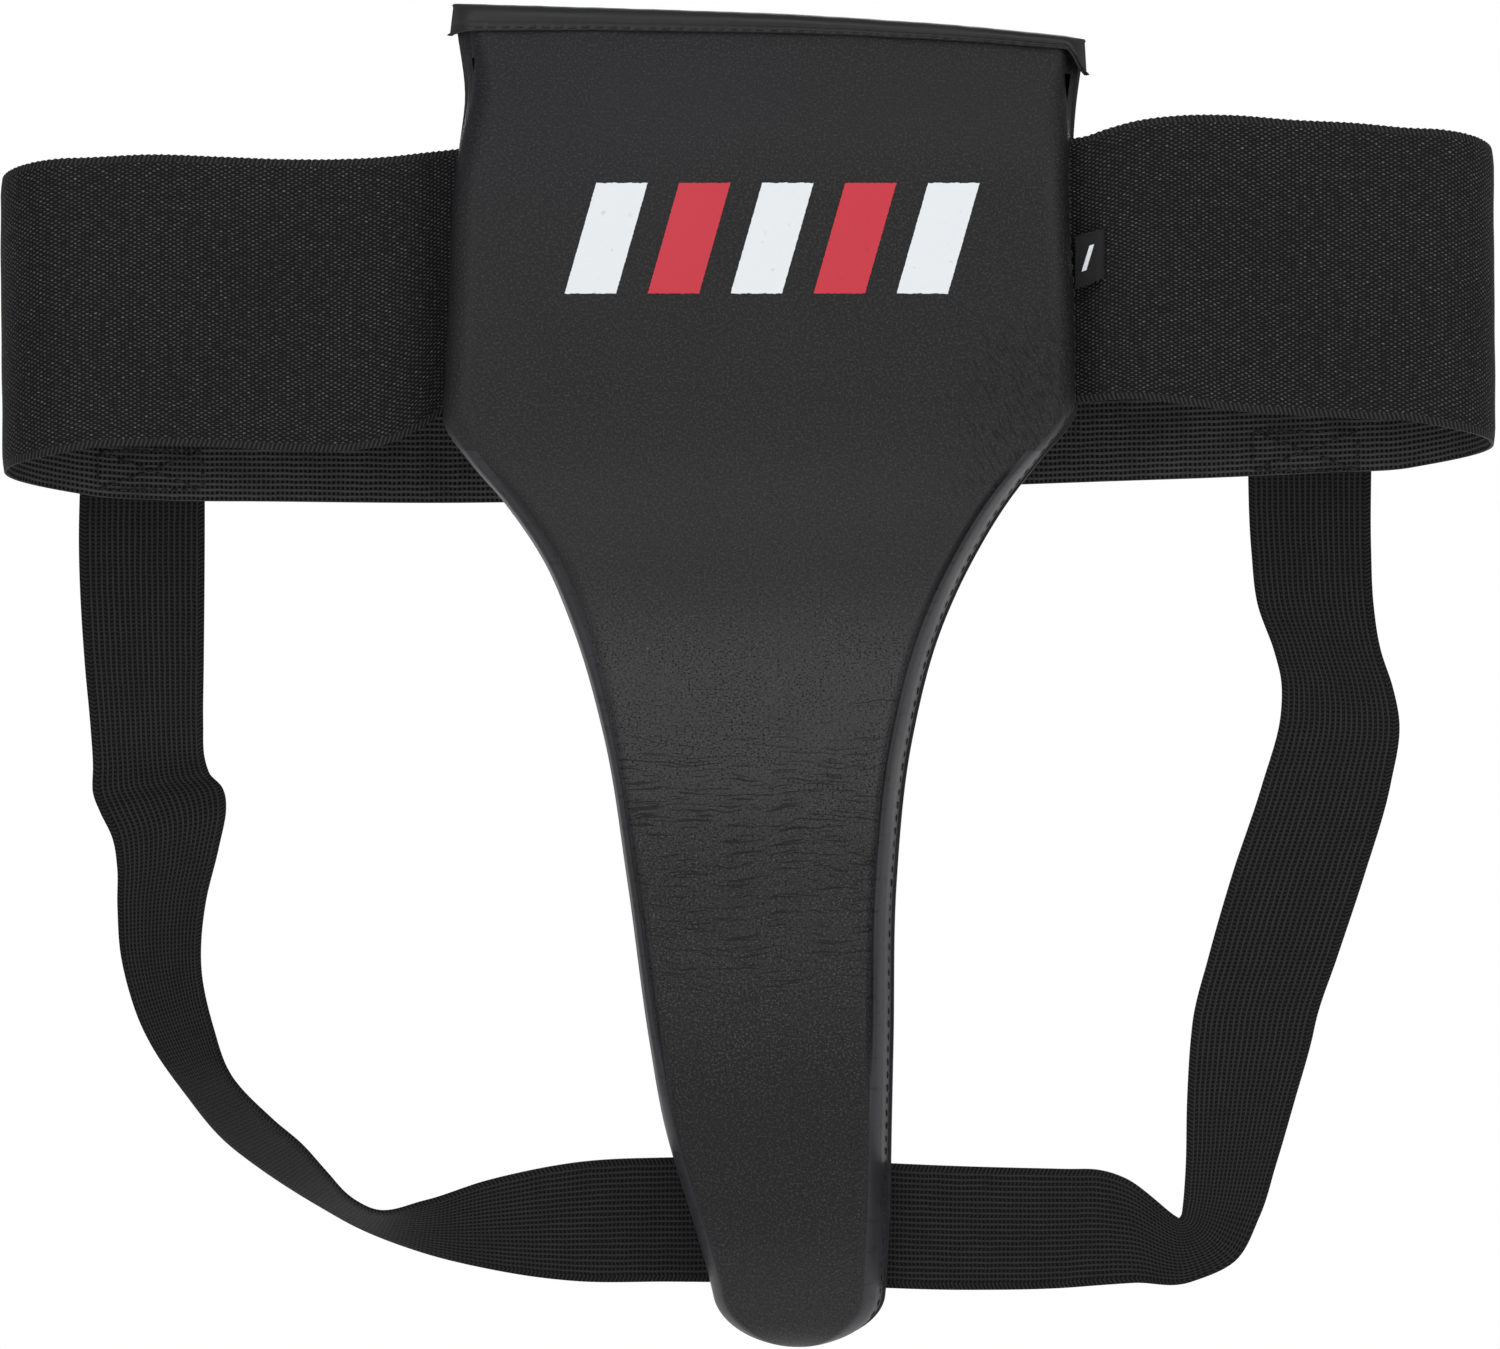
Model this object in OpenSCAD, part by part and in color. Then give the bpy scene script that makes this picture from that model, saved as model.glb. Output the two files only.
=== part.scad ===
// Groin protector for boxing and martial arts: a foam front pad with a long tail,
// an elastic waistband that runs round the back, and two elastic leg straps.
//
// Frame: millimetres. The origin is the centre of the flattened waistband loop, +Z is
// up and the pad's front faces -Y. Someone who looks at the front has +X on their right,
// and the sides called left and right are that onlooker's.

/* [Pad] */
// Width of the pad at its two waist corners
pad_width = 161; // [150:1:172]
// Height of the pad's right side, from the seam under the top binding to the tip's level
pad_height = 328; // [310:1:346]
// Thickness of the padded front, lining included
pad_thickness = 20; // [17:0.5:23]
// How far the tip of the tail curls towards the wearer's back
tail_curl = 22; // [10:1:26]
// Height of the fold line, where the tail bends back between the legs
fold_z = -105; // [-112:1:-98]

/* [Elastic] */
// Width of the waistband webbing
band_width = 76.2; // [70:0.1:78]
// Thickness of the waistband webbing
band_thickness = 1.6; // [1.2:0.1:2]
// Thickness of the leg strap webbing
strap_thickness = 1.5; // [1.2:0.1:1.8]
// Radius of the turn at each end of the flattened waistband
fold_radius = 21; // [19:0.5:23]

/* [Trim] */
// Greatest height of the folded strip that binds the top of the pad
binding_height = 7.2; // [6:0.2:9]
// Length that the size tag stands out of the side seam
tag_length = 7; // [6:0.5:10]
// Height of the size tag
tag_height = 15; // [12:1:18]
// Height of the slanted bars of the printed emblem
emblem_height = 28; // [20:1:34]

/* [Hidden] */
$fn = 32;

// Colours of the materials
VINYL = [0.17, 0.17, 0.185];
LINING = [0.09, 0.09, 0.10];
ELASTIC = [0.12, 0.12, 0.125];
THREAD = [0.05, 0.05, 0.055];
FOAM = [0.55, 0.55, 0.50];
SOFT_FOAM = [0.80, 0.78, 0.66];

// Layers of the pad, from the back face forwards
cover_wall = 1.2;
lining_wall = 1.2;
layer_gap = 0.2;
foam_gap = 0.9;
comfort_front = 7;
wall_foot = 3.6;
rim = 1.4;
front_inset_left = 1;
front_inset_right = 4.5;
shoulder = 9;
crown = 1.5;

// Heights of the pad's ends; the top seam falls towards the right hand side
top_z = 64 * pad_height / 328;
tip_z = top_z - pad_height;
top_slope = -0.0376;
seam_right = 83;
level_z = 36;
back_y = -16;
curl_start = -60;
curl_power = 1.7;
fold_gap = 0.5;

// Outline of the pad: height, left edge and right edge, for a pad 161 wide
OUTLINE = [
    [64, -74.5, 84], [50, -72.8, 82.4], [36, -74.4, 81.8], [0, -76.4, 82.6],
    [-20, -77.4, 83.2], [-30, -77.6, 80.6], [-40, -71, 73], [-49.5, -62.8, 65.8],
    [-65, -52.2, 56.4], [-80, -45.6, 49.4], [-110, -36.8, 41.2], [-146, -31, 37.1],
    [-187, -25.4, 36.2], [-207, -21.6, 35.8], [-238, -12.8, 34.8], [-251, -9.5, 33.4],
    [-266, -7.5, 31.5]
];
tip_round = 13;
UPPER_LEVELS = [top_z, 62, 58, 50, 36, 10, -14, -25, -33, -41, -50, -63, -78, -91];
TAIL_LEVELS = [-120, -140, -160, -180, -200, -220, -238];
TIP_ANGLES = [0, 22, 42, 60, 74, 84];

// Depths of the waistband's front and rear runs
front_run_y = 0.5 - fold_radius;
rear_run_y = 0.5 + fold_radius;
fold_left_x = -190.3 + fold_radius;
fold_right_x = 189.5 - fold_radius;
fold_turns = [0, 30, 60, 90, 120, 150, 180];
center_left_x = -124;
center_right_x = 124;
split_gap = 0.6;

// ---- Curves -------------------------------------------------------------------

function mix(a, b, t) = a + (b - a) * t;

// First row of a table, ordered by falling height, whose height is below z
function row_below(table, z, i = 1) =
    i == len(table) - 1 || z >= table[i][0] ? i : row_below(table, z, i + 1);

// Slope of a table's column at one row
function row_slope(table, i, column) =
    let (above = max(i - 1, 0), below = min(i + 1, len(table) - 1))
    (table[below][column] - table[above][column]) / (table[below][0] - table[above][0]);

// Smooth value of a table's column at height z
function smooth_value(table, z, column) =
    let (
        i = row_below(table, z),
        step = table[i][0] - table[i - 1][0],
        t = (z - table[i - 1][0]) / step
    )
    table[i - 1][column] * (1 + 2 * t) * (1 - t) ^ 2
    + row_slope(table, i - 1, column) * step * t * (1 - t) ^ 2
    + table[i][column] * t ^ 2 * (3 - 2 * t)
    + row_slope(table, i, column) * step * t ^ 2 * (t - 1);

// Share of full width left by the round end of the tail, 1 above it
function tip_share(z) =
    let (up = max(0, min(1, (z - tip_z) / tip_round)))
    sqrt(max(0.0004, 1 - (1 - up) ^ 2));

function outline_x(z, column) =
    let (
        row_z = min(z * 328 / pad_height, OUTLINE[0][0]),
        here = smooth_value(OUTLINE, row_z, column),
        middle = (smooth_value(OUTLINE, row_z, 1) + smooth_value(OUTLINE, row_z, 2)) / 2
    )
    mix(middle, here, tip_share(z)) * pad_width / 161;

function left_x(z) = outline_x(z, 1);
function right_x(z) = outline_x(z, 2);

// Back face of the pad: flat at the waist, curling backwards down the tail
function pad_back(z) =
    let (down = max(0, curl_start - z) / (curl_start - tip_z))
    back_y + tail_curl * down ^ curl_power;

// Thickness of the pad, rounded off at its top and tip and thinner down the tail
function pad_depth(z) =
    let (
        up = (z - tip_z) / shoulder,
        from_top = (top_z - z) / shoulder,
        near_end = max(0, min(1, min(up, from_top))),
        round_off = mix(0.3, 1, sqrt(1 - (1 - near_end) ^ 2)),
        taper = mix(0.82, 1, min(1, (z - tip_z) / 150))
    )
    pad_thickness * taper * round_off;

// Extra height at x that makes the levels near the top follow the sloping seam
function tilt(z, x) = top_slope * (x - seam_right) * max(0, (z - level_z) / (top_z - level_z));

function tip_level(angle) = tip_z + tip_round * (1 - sin(angle));
upper_levels = concat(UPPER_LEVELS, [fold_z + fold_gap]);
tail_levels = concat([fold_z - fold_gap], TAIL_LEVELS, [for (a = TIP_ANGLES) tip_level(a)]);

// ---- Solids swept from rings and edges ------------------------------------------

// Triangles that close a ring of n points by pairing its first half with its second half
function cap(n, start) = [
    for (j = [0 : floor((n - 3) / 2)])
    let (a = start + j, b = start + n - 2 - j)
    each concat(a + 1 < b ? [[a, a + 1, b]] : [], [[a, b, b + 1]])
];
function flipped(faces) = [for (f = faces) [f[0], f[2], f[1]]];

// Closed solid through a list of rings with the same number of points
module loft(rings) {
    sides = len(rings[0]);
    last = len(rings) - 1;
    walls = [
        for (i = [0 : last - 1], j = [0 : sides - 1])
        let (
            k = (j + 1) % sides,
            a = i * sides + j,
            b = i * sides + k,
            c = a + sides,
            d = b + sides
        )
        each [[a, b, d], [a, d, c]]
    ];
    faces = concat(flipped(cap(sides, 0)), walls, cap(sides, last * sides));
    polyhedron([for (ring = rings) each ring], faces);
}

function unit(v) = v / norm(v);

// Ring of a flat strip at station i of a list of edge pairs
function strip_ring(pairs, i, thickness) =
    let (
        before = pairs[max(i - 1, 0)],
        after = pairs[min(i + 1, len(pairs) - 1)],
        along = (after[0] + after[1]) - (before[0] + before[1]),
        across = pairs[i][1] - pairs[i][0],
        out = unit(cross(along, across)) * thickness / 2
    )
    [pairs[i][0] - out, pairs[i][1] - out, pairs[i][1] + out, pairs[i][0] + out];

// Flat strip of elastic or cloth between two edges
module strip(pairs, thickness) {
    loft([for (i = [0 : len(pairs) - 1]) strip_ring(pairs, i, thickness)]);
}

// ---- Pad sections ----------------------------------------------------------------

arc_steps = [0, 30, 60, 90];

// Radius of the front's two corners, small where the pad is thin
function corner_radius(z) = min(shoulder * tip_share(z), max(0.5, pad_depth(z) - comfort_front - 2.5));

// Front of the pad's section at height z, from the left wall's foot to the right one's,
// set in by skin; foot is how far forward of the back face the walls start
function front_path(z, skin, foot) =
    let (
        depth = pad_depth(z) - skin,
        share = tip_share(z),
        left = left_x(z) + skin * share,
        right = right_x(z) - skin * share,
        r = corner_radius(z),
        left_front = left + front_inset_left * share,
        right_front = right - front_inset_right * share,
        back = pad_back(z),
        flat_left = left_front + r,
        flat_right = right_front - r,
        lean = share * (foot - wall_foot) / (pad_depth(z) - r - wall_foot)
    )
    [
        [left + front_inset_left * lean, back - foot],
        for (a = arc_steps) [flat_left - r * cos(a), back - depth + r * (1 - sin(a))],
        for (s = [0.25, 0.5, 0.75])
        [mix(flat_left, flat_right, s), back - depth - crown * share * (1 - (2 * s - 1) ^ 2)],
        for (a = [90 : -30 : 0]) [flat_right + r * cos(a), back - depth + r * (1 - sin(a))],
        [right - front_inset_right * lean, back - foot]
    ];

function lift(points, z) = [for (p = points) [p[0], p[1], z + tilt(z, p[0])]];
function reversed(points) = [for (i = [len(points) - 1 : -1 : 0]) points[i]];

// Vinyl skin over the front and the side walls
module cover(levels) {
    loft([
        for (z = levels)
        lift(concat(front_path(z, 0, wall_foot), reversed(front_path(z, cover_wall, wall_foot))), z)
    ]);
}

// Firm foam just inside the cover
module impact_foam(levels) {
    foam_skin = cover_wall + foam_gap;
    loft([for (z = levels) lift(front_path(z, foam_skin, min(comfort_front, pad_depth(z) - 3)), z)]);
}

// Edge pairs that follow the outline, set in by inset, forward of the back face
function outline_pairs(levels, inset, forward) = [
    for (z = levels)
    let (
        share = tip_share(z),
        left = left_x(z) + inset * share,
        right = right_x(z) - inset * share,
        y = pad_back(z) - forward
    )
    [[left, y, z + tilt(z, left)], [right, y, z + tilt(z, right)]]
];

// Soft foam against the body, narrower than the pad so that the waistband fits beside it
module comfort_foam(levels) {
    thickness = comfort_front - lining_wall - 2 * layer_gap;
    strip(outline_pairs(levels, 12, lining_wall + layer_gap + thickness / 2), thickness);
}

// Back lining, whose rim shows past the side walls
module back_lining(levels) {
    strip(outline_pairs(levels, -rim, lining_wall / 2), lining_wall);
}

// Thread sunk in one side wall, close to the rim
module seam_thread(levels, column) {
    side = column == 1 ? -1 : 1;
    strip([
        for (z = levels)
        let (
            x = outline_x(z, column) + side * 0.35,
            y = pad_back(z) - wall_foot - 1.2
        )
        [[x, y, z + tilt(z, x)], [x, y - 0.7, z + tilt(z, x)]]
    ], 0.5);
}

// ---- Pad nodes ---------------------------------------------------------------------

foam_upper_levels = [for (z = upper_levels) if (z < top_z - 3) z];
thread_upper_levels = [for (z = upper_levels) if (z < top_z - 5) z];
foam_tail_levels = [for (z = tail_levels) if (z > tip_z + 2.5) z];
thread_tail_levels = [for (z = tail_levels) if (z > tip_z + 4) z];

// How far the lining reaches up inside the top binding
lining_tuck = 1;

module front_cover_upper() {
    color(VINYL) cover(upper_levels);
}

module front_cover_tail() {
    color(VINYL) cover(tail_levels);
}

module impact_foam_upper() {
    color(FOAM) impact_foam(foam_upper_levels);
}

module impact_foam_tail() {
    color(FOAM) impact_foam(foam_tail_levels);
}

module comfort_foam_upper() {
    color(SOFT_FOAM) comfort_foam(foam_upper_levels);
}

module comfort_foam_tail() {
    color(SOFT_FOAM) comfort_foam(foam_tail_levels);
}

module back_lining_upper() {
    color(LINING) back_lining(concat([top_z + lining_tuck], upper_levels));
}

module back_lining_tail() {
    color(LINING) back_lining(tail_levels);
}

module side_seam_thread_upper() {
    color(THREAD) {
        seam_thread(thread_upper_levels, 1);
        seam_thread(thread_upper_levels, 2);
    }
}

module side_seam_thread_tail() {
    color(THREAD) {
        seam_thread(thread_tail_levels, 1);
        seam_thread(thread_tail_levels, 2);
    }
}

// Top binding: a folded strip that stands over the top seam and closes it, lower to the
// right. Each row is a share of its length and the share of its height there.
BINDING_TOP = [[0, 0.84], [0.17, 0.86], [0.5, 1], [0.62, 0.9], [0.78, 0.78], [0.93, 0.46], [1, 0.4]];
binding_depth = 6.4;
binding_wall = 1;
binding_angle = atan(top_slope);
binding_overhang = 1.6;
binding_left = left_x(top_z) - binding_overhang;
binding_length = (right_x(top_z) + binding_overhang - binding_left) / cos(binding_angle);

// Puts a shape, drawn along +X from the binding's left end, on the sloping top seam
module on_top_seam() {
    translate([binding_left, back_y, top_z + tilt(top_z, binding_left) + layer_gap])
    rotate([0, -binding_angle, 0])
    children();
}

// Section of the fold: down its front, over the top and down its back, then back inside
function fold_ring(x, height) =
    let (
        front = -binding_depth,
        back = layer_gap + binding_wall,
        inner_front = binding_wall - binding_depth,
        inner_top = height - binding_wall
    )
    [
        [x, front, 0], [x, front, height], [x, back, height], [x, back, 0],
        [x, layer_gap, 0], [x, layer_gap, inner_top], [x, inner_front, inner_top], [x, inner_front, 0]
    ];

module top_binding() {
    color(LINING) on_top_seam()
    loft([for (row = BINDING_TOP) fold_ring(binding_length * row[0], binding_height * row[1])]);
}

module binding_thread() {
    color(THREAD) on_top_seam()
    translate([4, -binding_depth - 0.45, 1.4]) cube([binding_length - 8, 0.4, 0.6]);
}

// Printed emblem: slanted bars on the flat front of the pad
emblem_bars = 5;
bar_width = 13;
bar_pitch = 21;
bar_slant = 8;
emblem_x = 5.6;
emblem_z = 16.5;
ink = 0.15;

function front_face(z) = pad_back(z) - pad_depth(z) - crown;

// Every second bar, starting with the bar of the given number
module bars(first) {
    half_width = bar_width / 2;
    half_slant = bar_slant / 2;
    half_height = emblem_height / 2;
    for (i = [first : 2 : emblem_bars - 1])
    translate([emblem_x + (i - (emblem_bars - 1) / 2) * bar_pitch, front_face(emblem_z) - 0.05, emblem_z])
    rotate([90, 0, 0]) linear_extrude(ink) polygon([
        [-half_width - half_slant, -half_height],
        [half_width - half_slant, -half_height],
        [half_width + half_slant, half_height],
        [-half_width + half_slant, half_height]
    ]);
}

module emblem_white_bars() {
    color("white") bars(0);
}

module emblem_red_bars() {
    color("crimson") bars(1);
}

// ---- Waistband ---------------------------------------------------------------------

// Lower edges of the band; its upper edges are the band's width above them
low_left = -36.5;
low_right = -29.6;
low_rear_left = -49.5;
low_rear_right = -41.6;
seam_y = back_y - 2.6;

function band_pair(x, y, low) = [[x, y, low], [x, y, low + band_width]];

// One station of a sewn end, where the band is gathered and narrower
function sewn_pair(x, y, low, high) = [[x, y, low], [x, y, high]];

// Stations round the turn at one end, the rear run being lower than the front one
function turn_pairs(center_x, side, low_front, low_rear) = [
    for (a = fold_turns)
    band_pair(
        center_x + side * fold_radius * sin(a),
        (front_run_y + rear_run_y) / 2 - fold_radius * cos(a),
        mix(low_front, low_rear, a / 180)
    )
];

module waistband_front_left() {
    color(ELASTIC) strip([
        sewn_pair(-67, seam_y, -26, 40),
        sewn_pair(-79, seam_y, -27.5, 39),
        sewn_pair(-92, front_run_y + 0.6, -34.5, 38.6),
        band_pair(-104, front_run_y, low_left),
        band_pair(fold_left_x + layer_gap, front_run_y, low_left)
    ], band_thickness);
}

module waistband_fold_left() {
    color(ELASTIC) strip(turn_pairs(fold_left_x, -1, low_left, low_rear_left), band_thickness);
}

module waistband_rear_left() {
    color(ELASTIC) strip([
        band_pair(fold_left_x + layer_gap, rear_run_y, low_rear_left),
        band_pair(center_left_x - split_gap, rear_run_y, low_rear_left)
    ], band_thickness);
}

module waistband_rear_center() {
    color(ELASTIC) strip([
        band_pair(center_left_x, rear_run_y, low_rear_left),
        band_pair(-70, rear_run_y, low_rear_left - 0.3),
        band_pair(90, rear_run_y, low_rear_right - 2.8),
        band_pair(center_right_x, rear_run_y, low_rear_right - 1.6)
    ], band_thickness);
}

module waistband_rear_right() {
    color(ELASTIC) strip([
        band_pair(center_right_x + split_gap, rear_run_y, low_rear_right - 1.6),
        band_pair(fold_right_x - layer_gap, rear_run_y, low_rear_right)
    ], band_thickness);
}

module waistband_fold_right() {
    color(ELASTIC) strip(turn_pairs(fold_right_x, 1, low_right, low_rear_right), band_thickness);
}

module waistband_front_right() {
    color(ELASTIC) strip([
        sewn_pair(73, seam_y, -25, 42),
        sewn_pair(85, seam_y, -24.6, 43),
        sewn_pair(97, front_run_y + 0.6, -24, 46.2),
        band_pair(114, front_run_y, -26.4),
        band_pair(fold_right_x - layer_gap, front_run_y, low_right)
    ], band_thickness);
}

// Thread that holds the waistband's sewn end, just behind the band
module band_thread(x) {
    color(THREAD) translate([x, seam_y + band_thickness / 2 + 0.05, -20]) cube([0.6, 0.4, 56]);
}

module band_thread_left() {
    band_thread(-72);
}

module band_thread_right() {
    band_thread(77);
}

// ---- Leg straps ----------------------------------------------------------------------

// Each strap hangs from the back of the waistband and runs forwards to the tail.
// Its stations are pairs of edge points: the outer edge and then the inner edge.
strap_top = -35;
strap_y = rear_run_y + (band_thickness + strap_thickness) / 2 + 0.1;

// Point of a strap's edge that lies on the back of the tail
function on_tail(x, z) = [x, pad_back(z) + strap_thickness / 2 + layer_gap, z];

LEFT_UPPER = [
    [[-170, strap_y, strap_top], [-138.5, strap_y, strap_top]],
    [[-170, strap_y, -62], [-138.5, strap_y, -62]],
    [[-168.5, 22, -95], [-138, 22, -95]],
    [[-166, 21, -118], [-136.5, 19, -118]],
    [[-163.5, 21, -132], [-134.5, 17, -129]],
    [[-160.5, 20, -152], [-138.5, 13, -152]],
    [[-158, 19, -170], [-139, 9, -170]],
    [[-154, 18, -183], [-138, 5, -180]]
];
LEFT_LOWER = [
    [[-152, 18, -187.5], [-136.5, 4, -184.5]],
    [[-144, 18, -200], [-131, -2, -197]],
    [[-133, 18, -213], [-120, -7, -208]],
    [[-115, 18, -226], [-107, -9, -221]],
    [[-100, 17, -234], [-94, -8, -228]],
    [[-84, 14, -240], [-82, -4, -227]],
    [[-65, 9, -245], [-66, -1, -222]],
    [[-44, 5, -248], [-44, 0.5, -217.5]],
    [on_tail(-20, -248.2), on_tail(-20, -216.4)],
    [on_tail(10.7, -248.6), on_tail(10.7, -216.9)]
];
RIGHT_UPPER = [
    [[157.5, strap_y, strap_top], [126.5, strap_y, strap_top]],
    [[157.5, strap_y, -62], [127.5, strap_y, -62]],
    [[160, 22, -88], [133, 22, -88]],
    [[164, 21, -103], [134.5, 20, -103]],
    [[162.5, 20, -122], [130.5, 18, -122]],
    [[156, 18, -145], [123, 15, -145]],
    [[149, 16, -166], [116.5, 12, -166]],
    [[143.5, 15, -182], [112.5, 9, -182]]
];
RIGHT_LOWER = [
    [[142.5, 14.5, -186.5], [112, 8.5, -186.5]],
    [[138, 13, -202], [111, 6, -202]],
    [[133, 12, -219], [110.5, 3, -219]],
    [[129, 10, -232], [109.6, 2, -228.5]],
    [[123, 8, -243], [109, 2, -231]],
    [[112, 6, -248.4], [107.5, 1.5, -231]],
    [[96, 5.5, -248.4], [96, 2, -222.5]],
    [[80, 5, -249.6], [80, 1.5, -219.2]],
    [on_tail(55, -250), on_tail(55, -218.4)],
    [on_tail(11.3, -248.6), on_tail(11.3, -216.9)]
];

module left_leg_strap_upper() {
    color(ELASTIC) strip(LEFT_UPPER, strap_thickness);
}

module left_leg_strap_lower() {
    color(ELASTIC) strip(LEFT_LOWER, strap_thickness);
}

module right_leg_strap_upper() {
    color(ELASTIC) strip(RIGHT_UPPER, strap_thickness);
}

module right_leg_strap_lower() {
    color(ELASTIC) strip(RIGHT_LOWER, strap_thickness);
}

// Square of thread with a cross in it, lying in the XZ plane
module box_stitch(width, height) {
    line = 0.6;
    diagonal = norm([width, height]) - line;
    rotate([90, 0, 0]) linear_extrude(0.4) {
        difference() {
            square([width, height], center = true);
            square([width - 2 * line, height - 2 * line], center = true);
        }
        for (side = [-1, 1])
        rotate(side * atan(height / width)) square([diagonal, line], center = true);
    }
}

box_y = rear_run_y - band_thickness / 2 - 0.05;

module left_strap_box_stitch() {
    color(THREAD) translate([-154, box_y, -41.5]) box_stitch(27, 10);
}

module right_strap_box_stitch() {
    color(THREAD) translate([142.5, box_y, -36.5]) box_stitch(27, 10);
}

module tail_strap_box_stitch() {
    low = on_tail(11, -248.6);
    high = on_tail(11, -216.9);
    lean = atan((low[1] - high[1]) / (high[2] - low[2]));
    color(THREAD) translate((low + high) / 2) rotate([lean, 0, 0])
    translate([0, strap_thickness / 2 + 0.5, 0]) box_stitch(34, 24);
}

// ---- Size tag --------------------------------------------------------------------------

// Small folded woven tag that stands out of the right side seam, in front of the band
tag_z = 4;
tag_wall = 0.4;
tag_fold = 0.7;
tag_hinge_x = 82.9;
tag_y = seam_y - 3.4;

module size_tag() {
    color("black") translate([tag_hinge_x + 0.4, tag_y, tag_z]) linear_extrude(tag_height) {
        for (side = [-1, 1])
        translate([0, side * (tag_fold - tag_wall / 2) - tag_wall / 2])
        square([tag_length - tag_fold, tag_wall]);
        translate([tag_length - tag_fold, 0]) difference() {
            circle(tag_fold);
            circle(tag_fold - tag_wall);
            translate([-2 * tag_fold, -tag_fold]) square([2 * tag_fold, 2 * tag_fold]);
        }
    }
}

front_cover_upper();
impact_foam_upper();
comfort_foam_upper();
back_lining_upper();
top_binding();
binding_thread();
side_seam_thread_upper();
emblem_white_bars();
emblem_red_bars();
waistband_front_left();
waistband_fold_left();
waistband_rear_left();
waistband_front_right();
waistband_fold_right();
waistband_rear_right();
waistband_rear_center();
band_thread_left();
band_thread_right();
left_leg_strap_upper();
right_leg_strap_upper();
left_strap_box_stitch();
right_strap_box_stitch();
front_cover_tail();
impact_foam_tail();
comfort_foam_tail();
back_lining_tail();
side_seam_thread_tail();
left_leg_strap_lower();
right_leg_strap_lower();
tail_strap_box_stitch();
size_tag();
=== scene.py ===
"""Looks of a groin protector: a padded vinyl front with a long tail, an elastic waistband
and two elastic leg straps. Shapes are written in millimetres and built in metres."""
import math

import bpy
import numpy as np
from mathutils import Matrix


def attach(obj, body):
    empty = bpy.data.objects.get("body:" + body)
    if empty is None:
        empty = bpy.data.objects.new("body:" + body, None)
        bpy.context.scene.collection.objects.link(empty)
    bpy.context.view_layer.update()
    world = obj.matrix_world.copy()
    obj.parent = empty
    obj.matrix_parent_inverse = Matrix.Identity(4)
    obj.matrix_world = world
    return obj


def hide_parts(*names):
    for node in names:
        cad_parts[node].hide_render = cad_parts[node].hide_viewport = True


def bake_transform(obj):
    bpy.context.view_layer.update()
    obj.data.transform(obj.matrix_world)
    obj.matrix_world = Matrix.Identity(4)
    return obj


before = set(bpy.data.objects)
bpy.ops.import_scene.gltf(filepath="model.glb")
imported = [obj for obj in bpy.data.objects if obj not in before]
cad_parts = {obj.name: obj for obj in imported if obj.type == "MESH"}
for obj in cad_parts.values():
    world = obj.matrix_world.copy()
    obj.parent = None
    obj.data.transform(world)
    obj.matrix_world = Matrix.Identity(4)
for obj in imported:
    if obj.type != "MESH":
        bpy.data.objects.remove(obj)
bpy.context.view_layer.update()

MM = 0.001
# Width of the picture, height of its middle, and the camera's distance in metres
PHOTO_WIDTH = 381.0
VIEW_Z = -93.9
VIEW_DISTANCE = 4.0
LIGHT_TARGET = (0, 0, -0.08)
rng = np.random.default_rng(11)

# Pad, in the frame of the CAD model
TOP_Z = 64.0
TIP_Z = -265.7
PAD_THICKNESS = 20.0
TAIL_CURL = 22.0
LEVEL_Z = 36.0
BACK_Y = -16.0
CURL_START = -60.0
CURL_POWER = 1.7
TIP_ROUND = 13.0
CROWN = 1.5
TOP_THINNING = 12.5
WAIST_Z = -36
LINING_LIFT = 0.9
WAIST_CORNER = (82, -34)
COVER_WALL = 1.2
OUTLINE = np.array([
    [64, -73.9, 83.8], [50, -71.9, 81.9], [36, -74.3, 81.0], [0, -76.4, 82.2],
    [-20, -77.4, 82.4], [-26, -77.8, 82.0], [-30, -77.6, 79.9], [-40, -71, 72.3], [-49.5, -62.8, 65.0],
    [-65, -52.2, 55.6], [-80, -45.6, 48.6], [-110, -36.8, 40.4], [-146, -31, 36.4],
    [-187, -25.4, 35.6], [-207, -21.9, 35.2], [-238, -12.9, 34.5], [-251, -9.4, 33.7],
    [-266, -6.8, 31.9],
], dtype=float)

# Top binding: x, lower edge and upper edge, from the left end to the right one
BINDING_EDGES = np.array([
    [-75.4, 69.9, 76.6], [-40, 69.9, 75.6], [5, 69.2, 74.2], [23, 68.7, 73.2], [52, 67.2, 71.2],
    [69, 65.9, 69.6], [80, 65.0, 68.4], [85.1, 64.2, 67.6],
], dtype=float)

# Elastic webbing
BAND_WIDTH = 76.2
BAND_THICKNESS = 1.6
STRAP_WIDTH = 31.75
STRAP_THICKNESS = 1.5
FOLD_RADIUS = 21.0
FOLD_LEFT_X = -169.3
FOLD_RIGHT_X = 168.5
FRONT_Y = -20.5
REAR_Y = 21.5
SEAM_Y = -18.6
STRAP_Y = 23.15
TOOTH_PITCH = 1.7
BOX_STITCH = (2.6, 1.9, 0.28)

FLOOR_RADIUS = 6.0
FLOOR_SIDES = 96
FLOOR_Z = -0.45


# ---- Curves ----


def smoothstep(low, high, value):
    t = np.clip((np.asarray(value, float) - low) / (high - low), 0, 1)
    return t * t * (3 - 2 * t)


def hermite(table, z, column):
    """Smooth value at height z of a table whose rows are ordered by falling height."""
    z = np.minimum(np.asarray(z, float), table[0, 0])
    row = np.clip(np.searchsorted(-table[:, 0], -z, side="right"), 1, len(table) - 1)
    slopes = np.gradient(table[:, column], table[:, 0])
    step = table[row, 0] - table[row - 1, 0]
    t = (z - table[row - 1, 0]) / step
    return (table[row - 1, column] * (1 + 2 * t) * (1 - t) ** 2
            + slopes[row - 1] * step * t * (1 - t) ** 2
            + table[row, column] * t ** 2 * (3 - 2 * t)
            + slopes[row] * step * t ** 2 * (t - 1))


def tip_share(z):
    """Share of full width left by the round end of the tail, 1 above it."""
    up = np.clip((z - TIP_Z) / TIP_ROUND, 0, 1)
    return np.sqrt(np.maximum(0.0004, 1 - (1 - up) ** 2))


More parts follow.
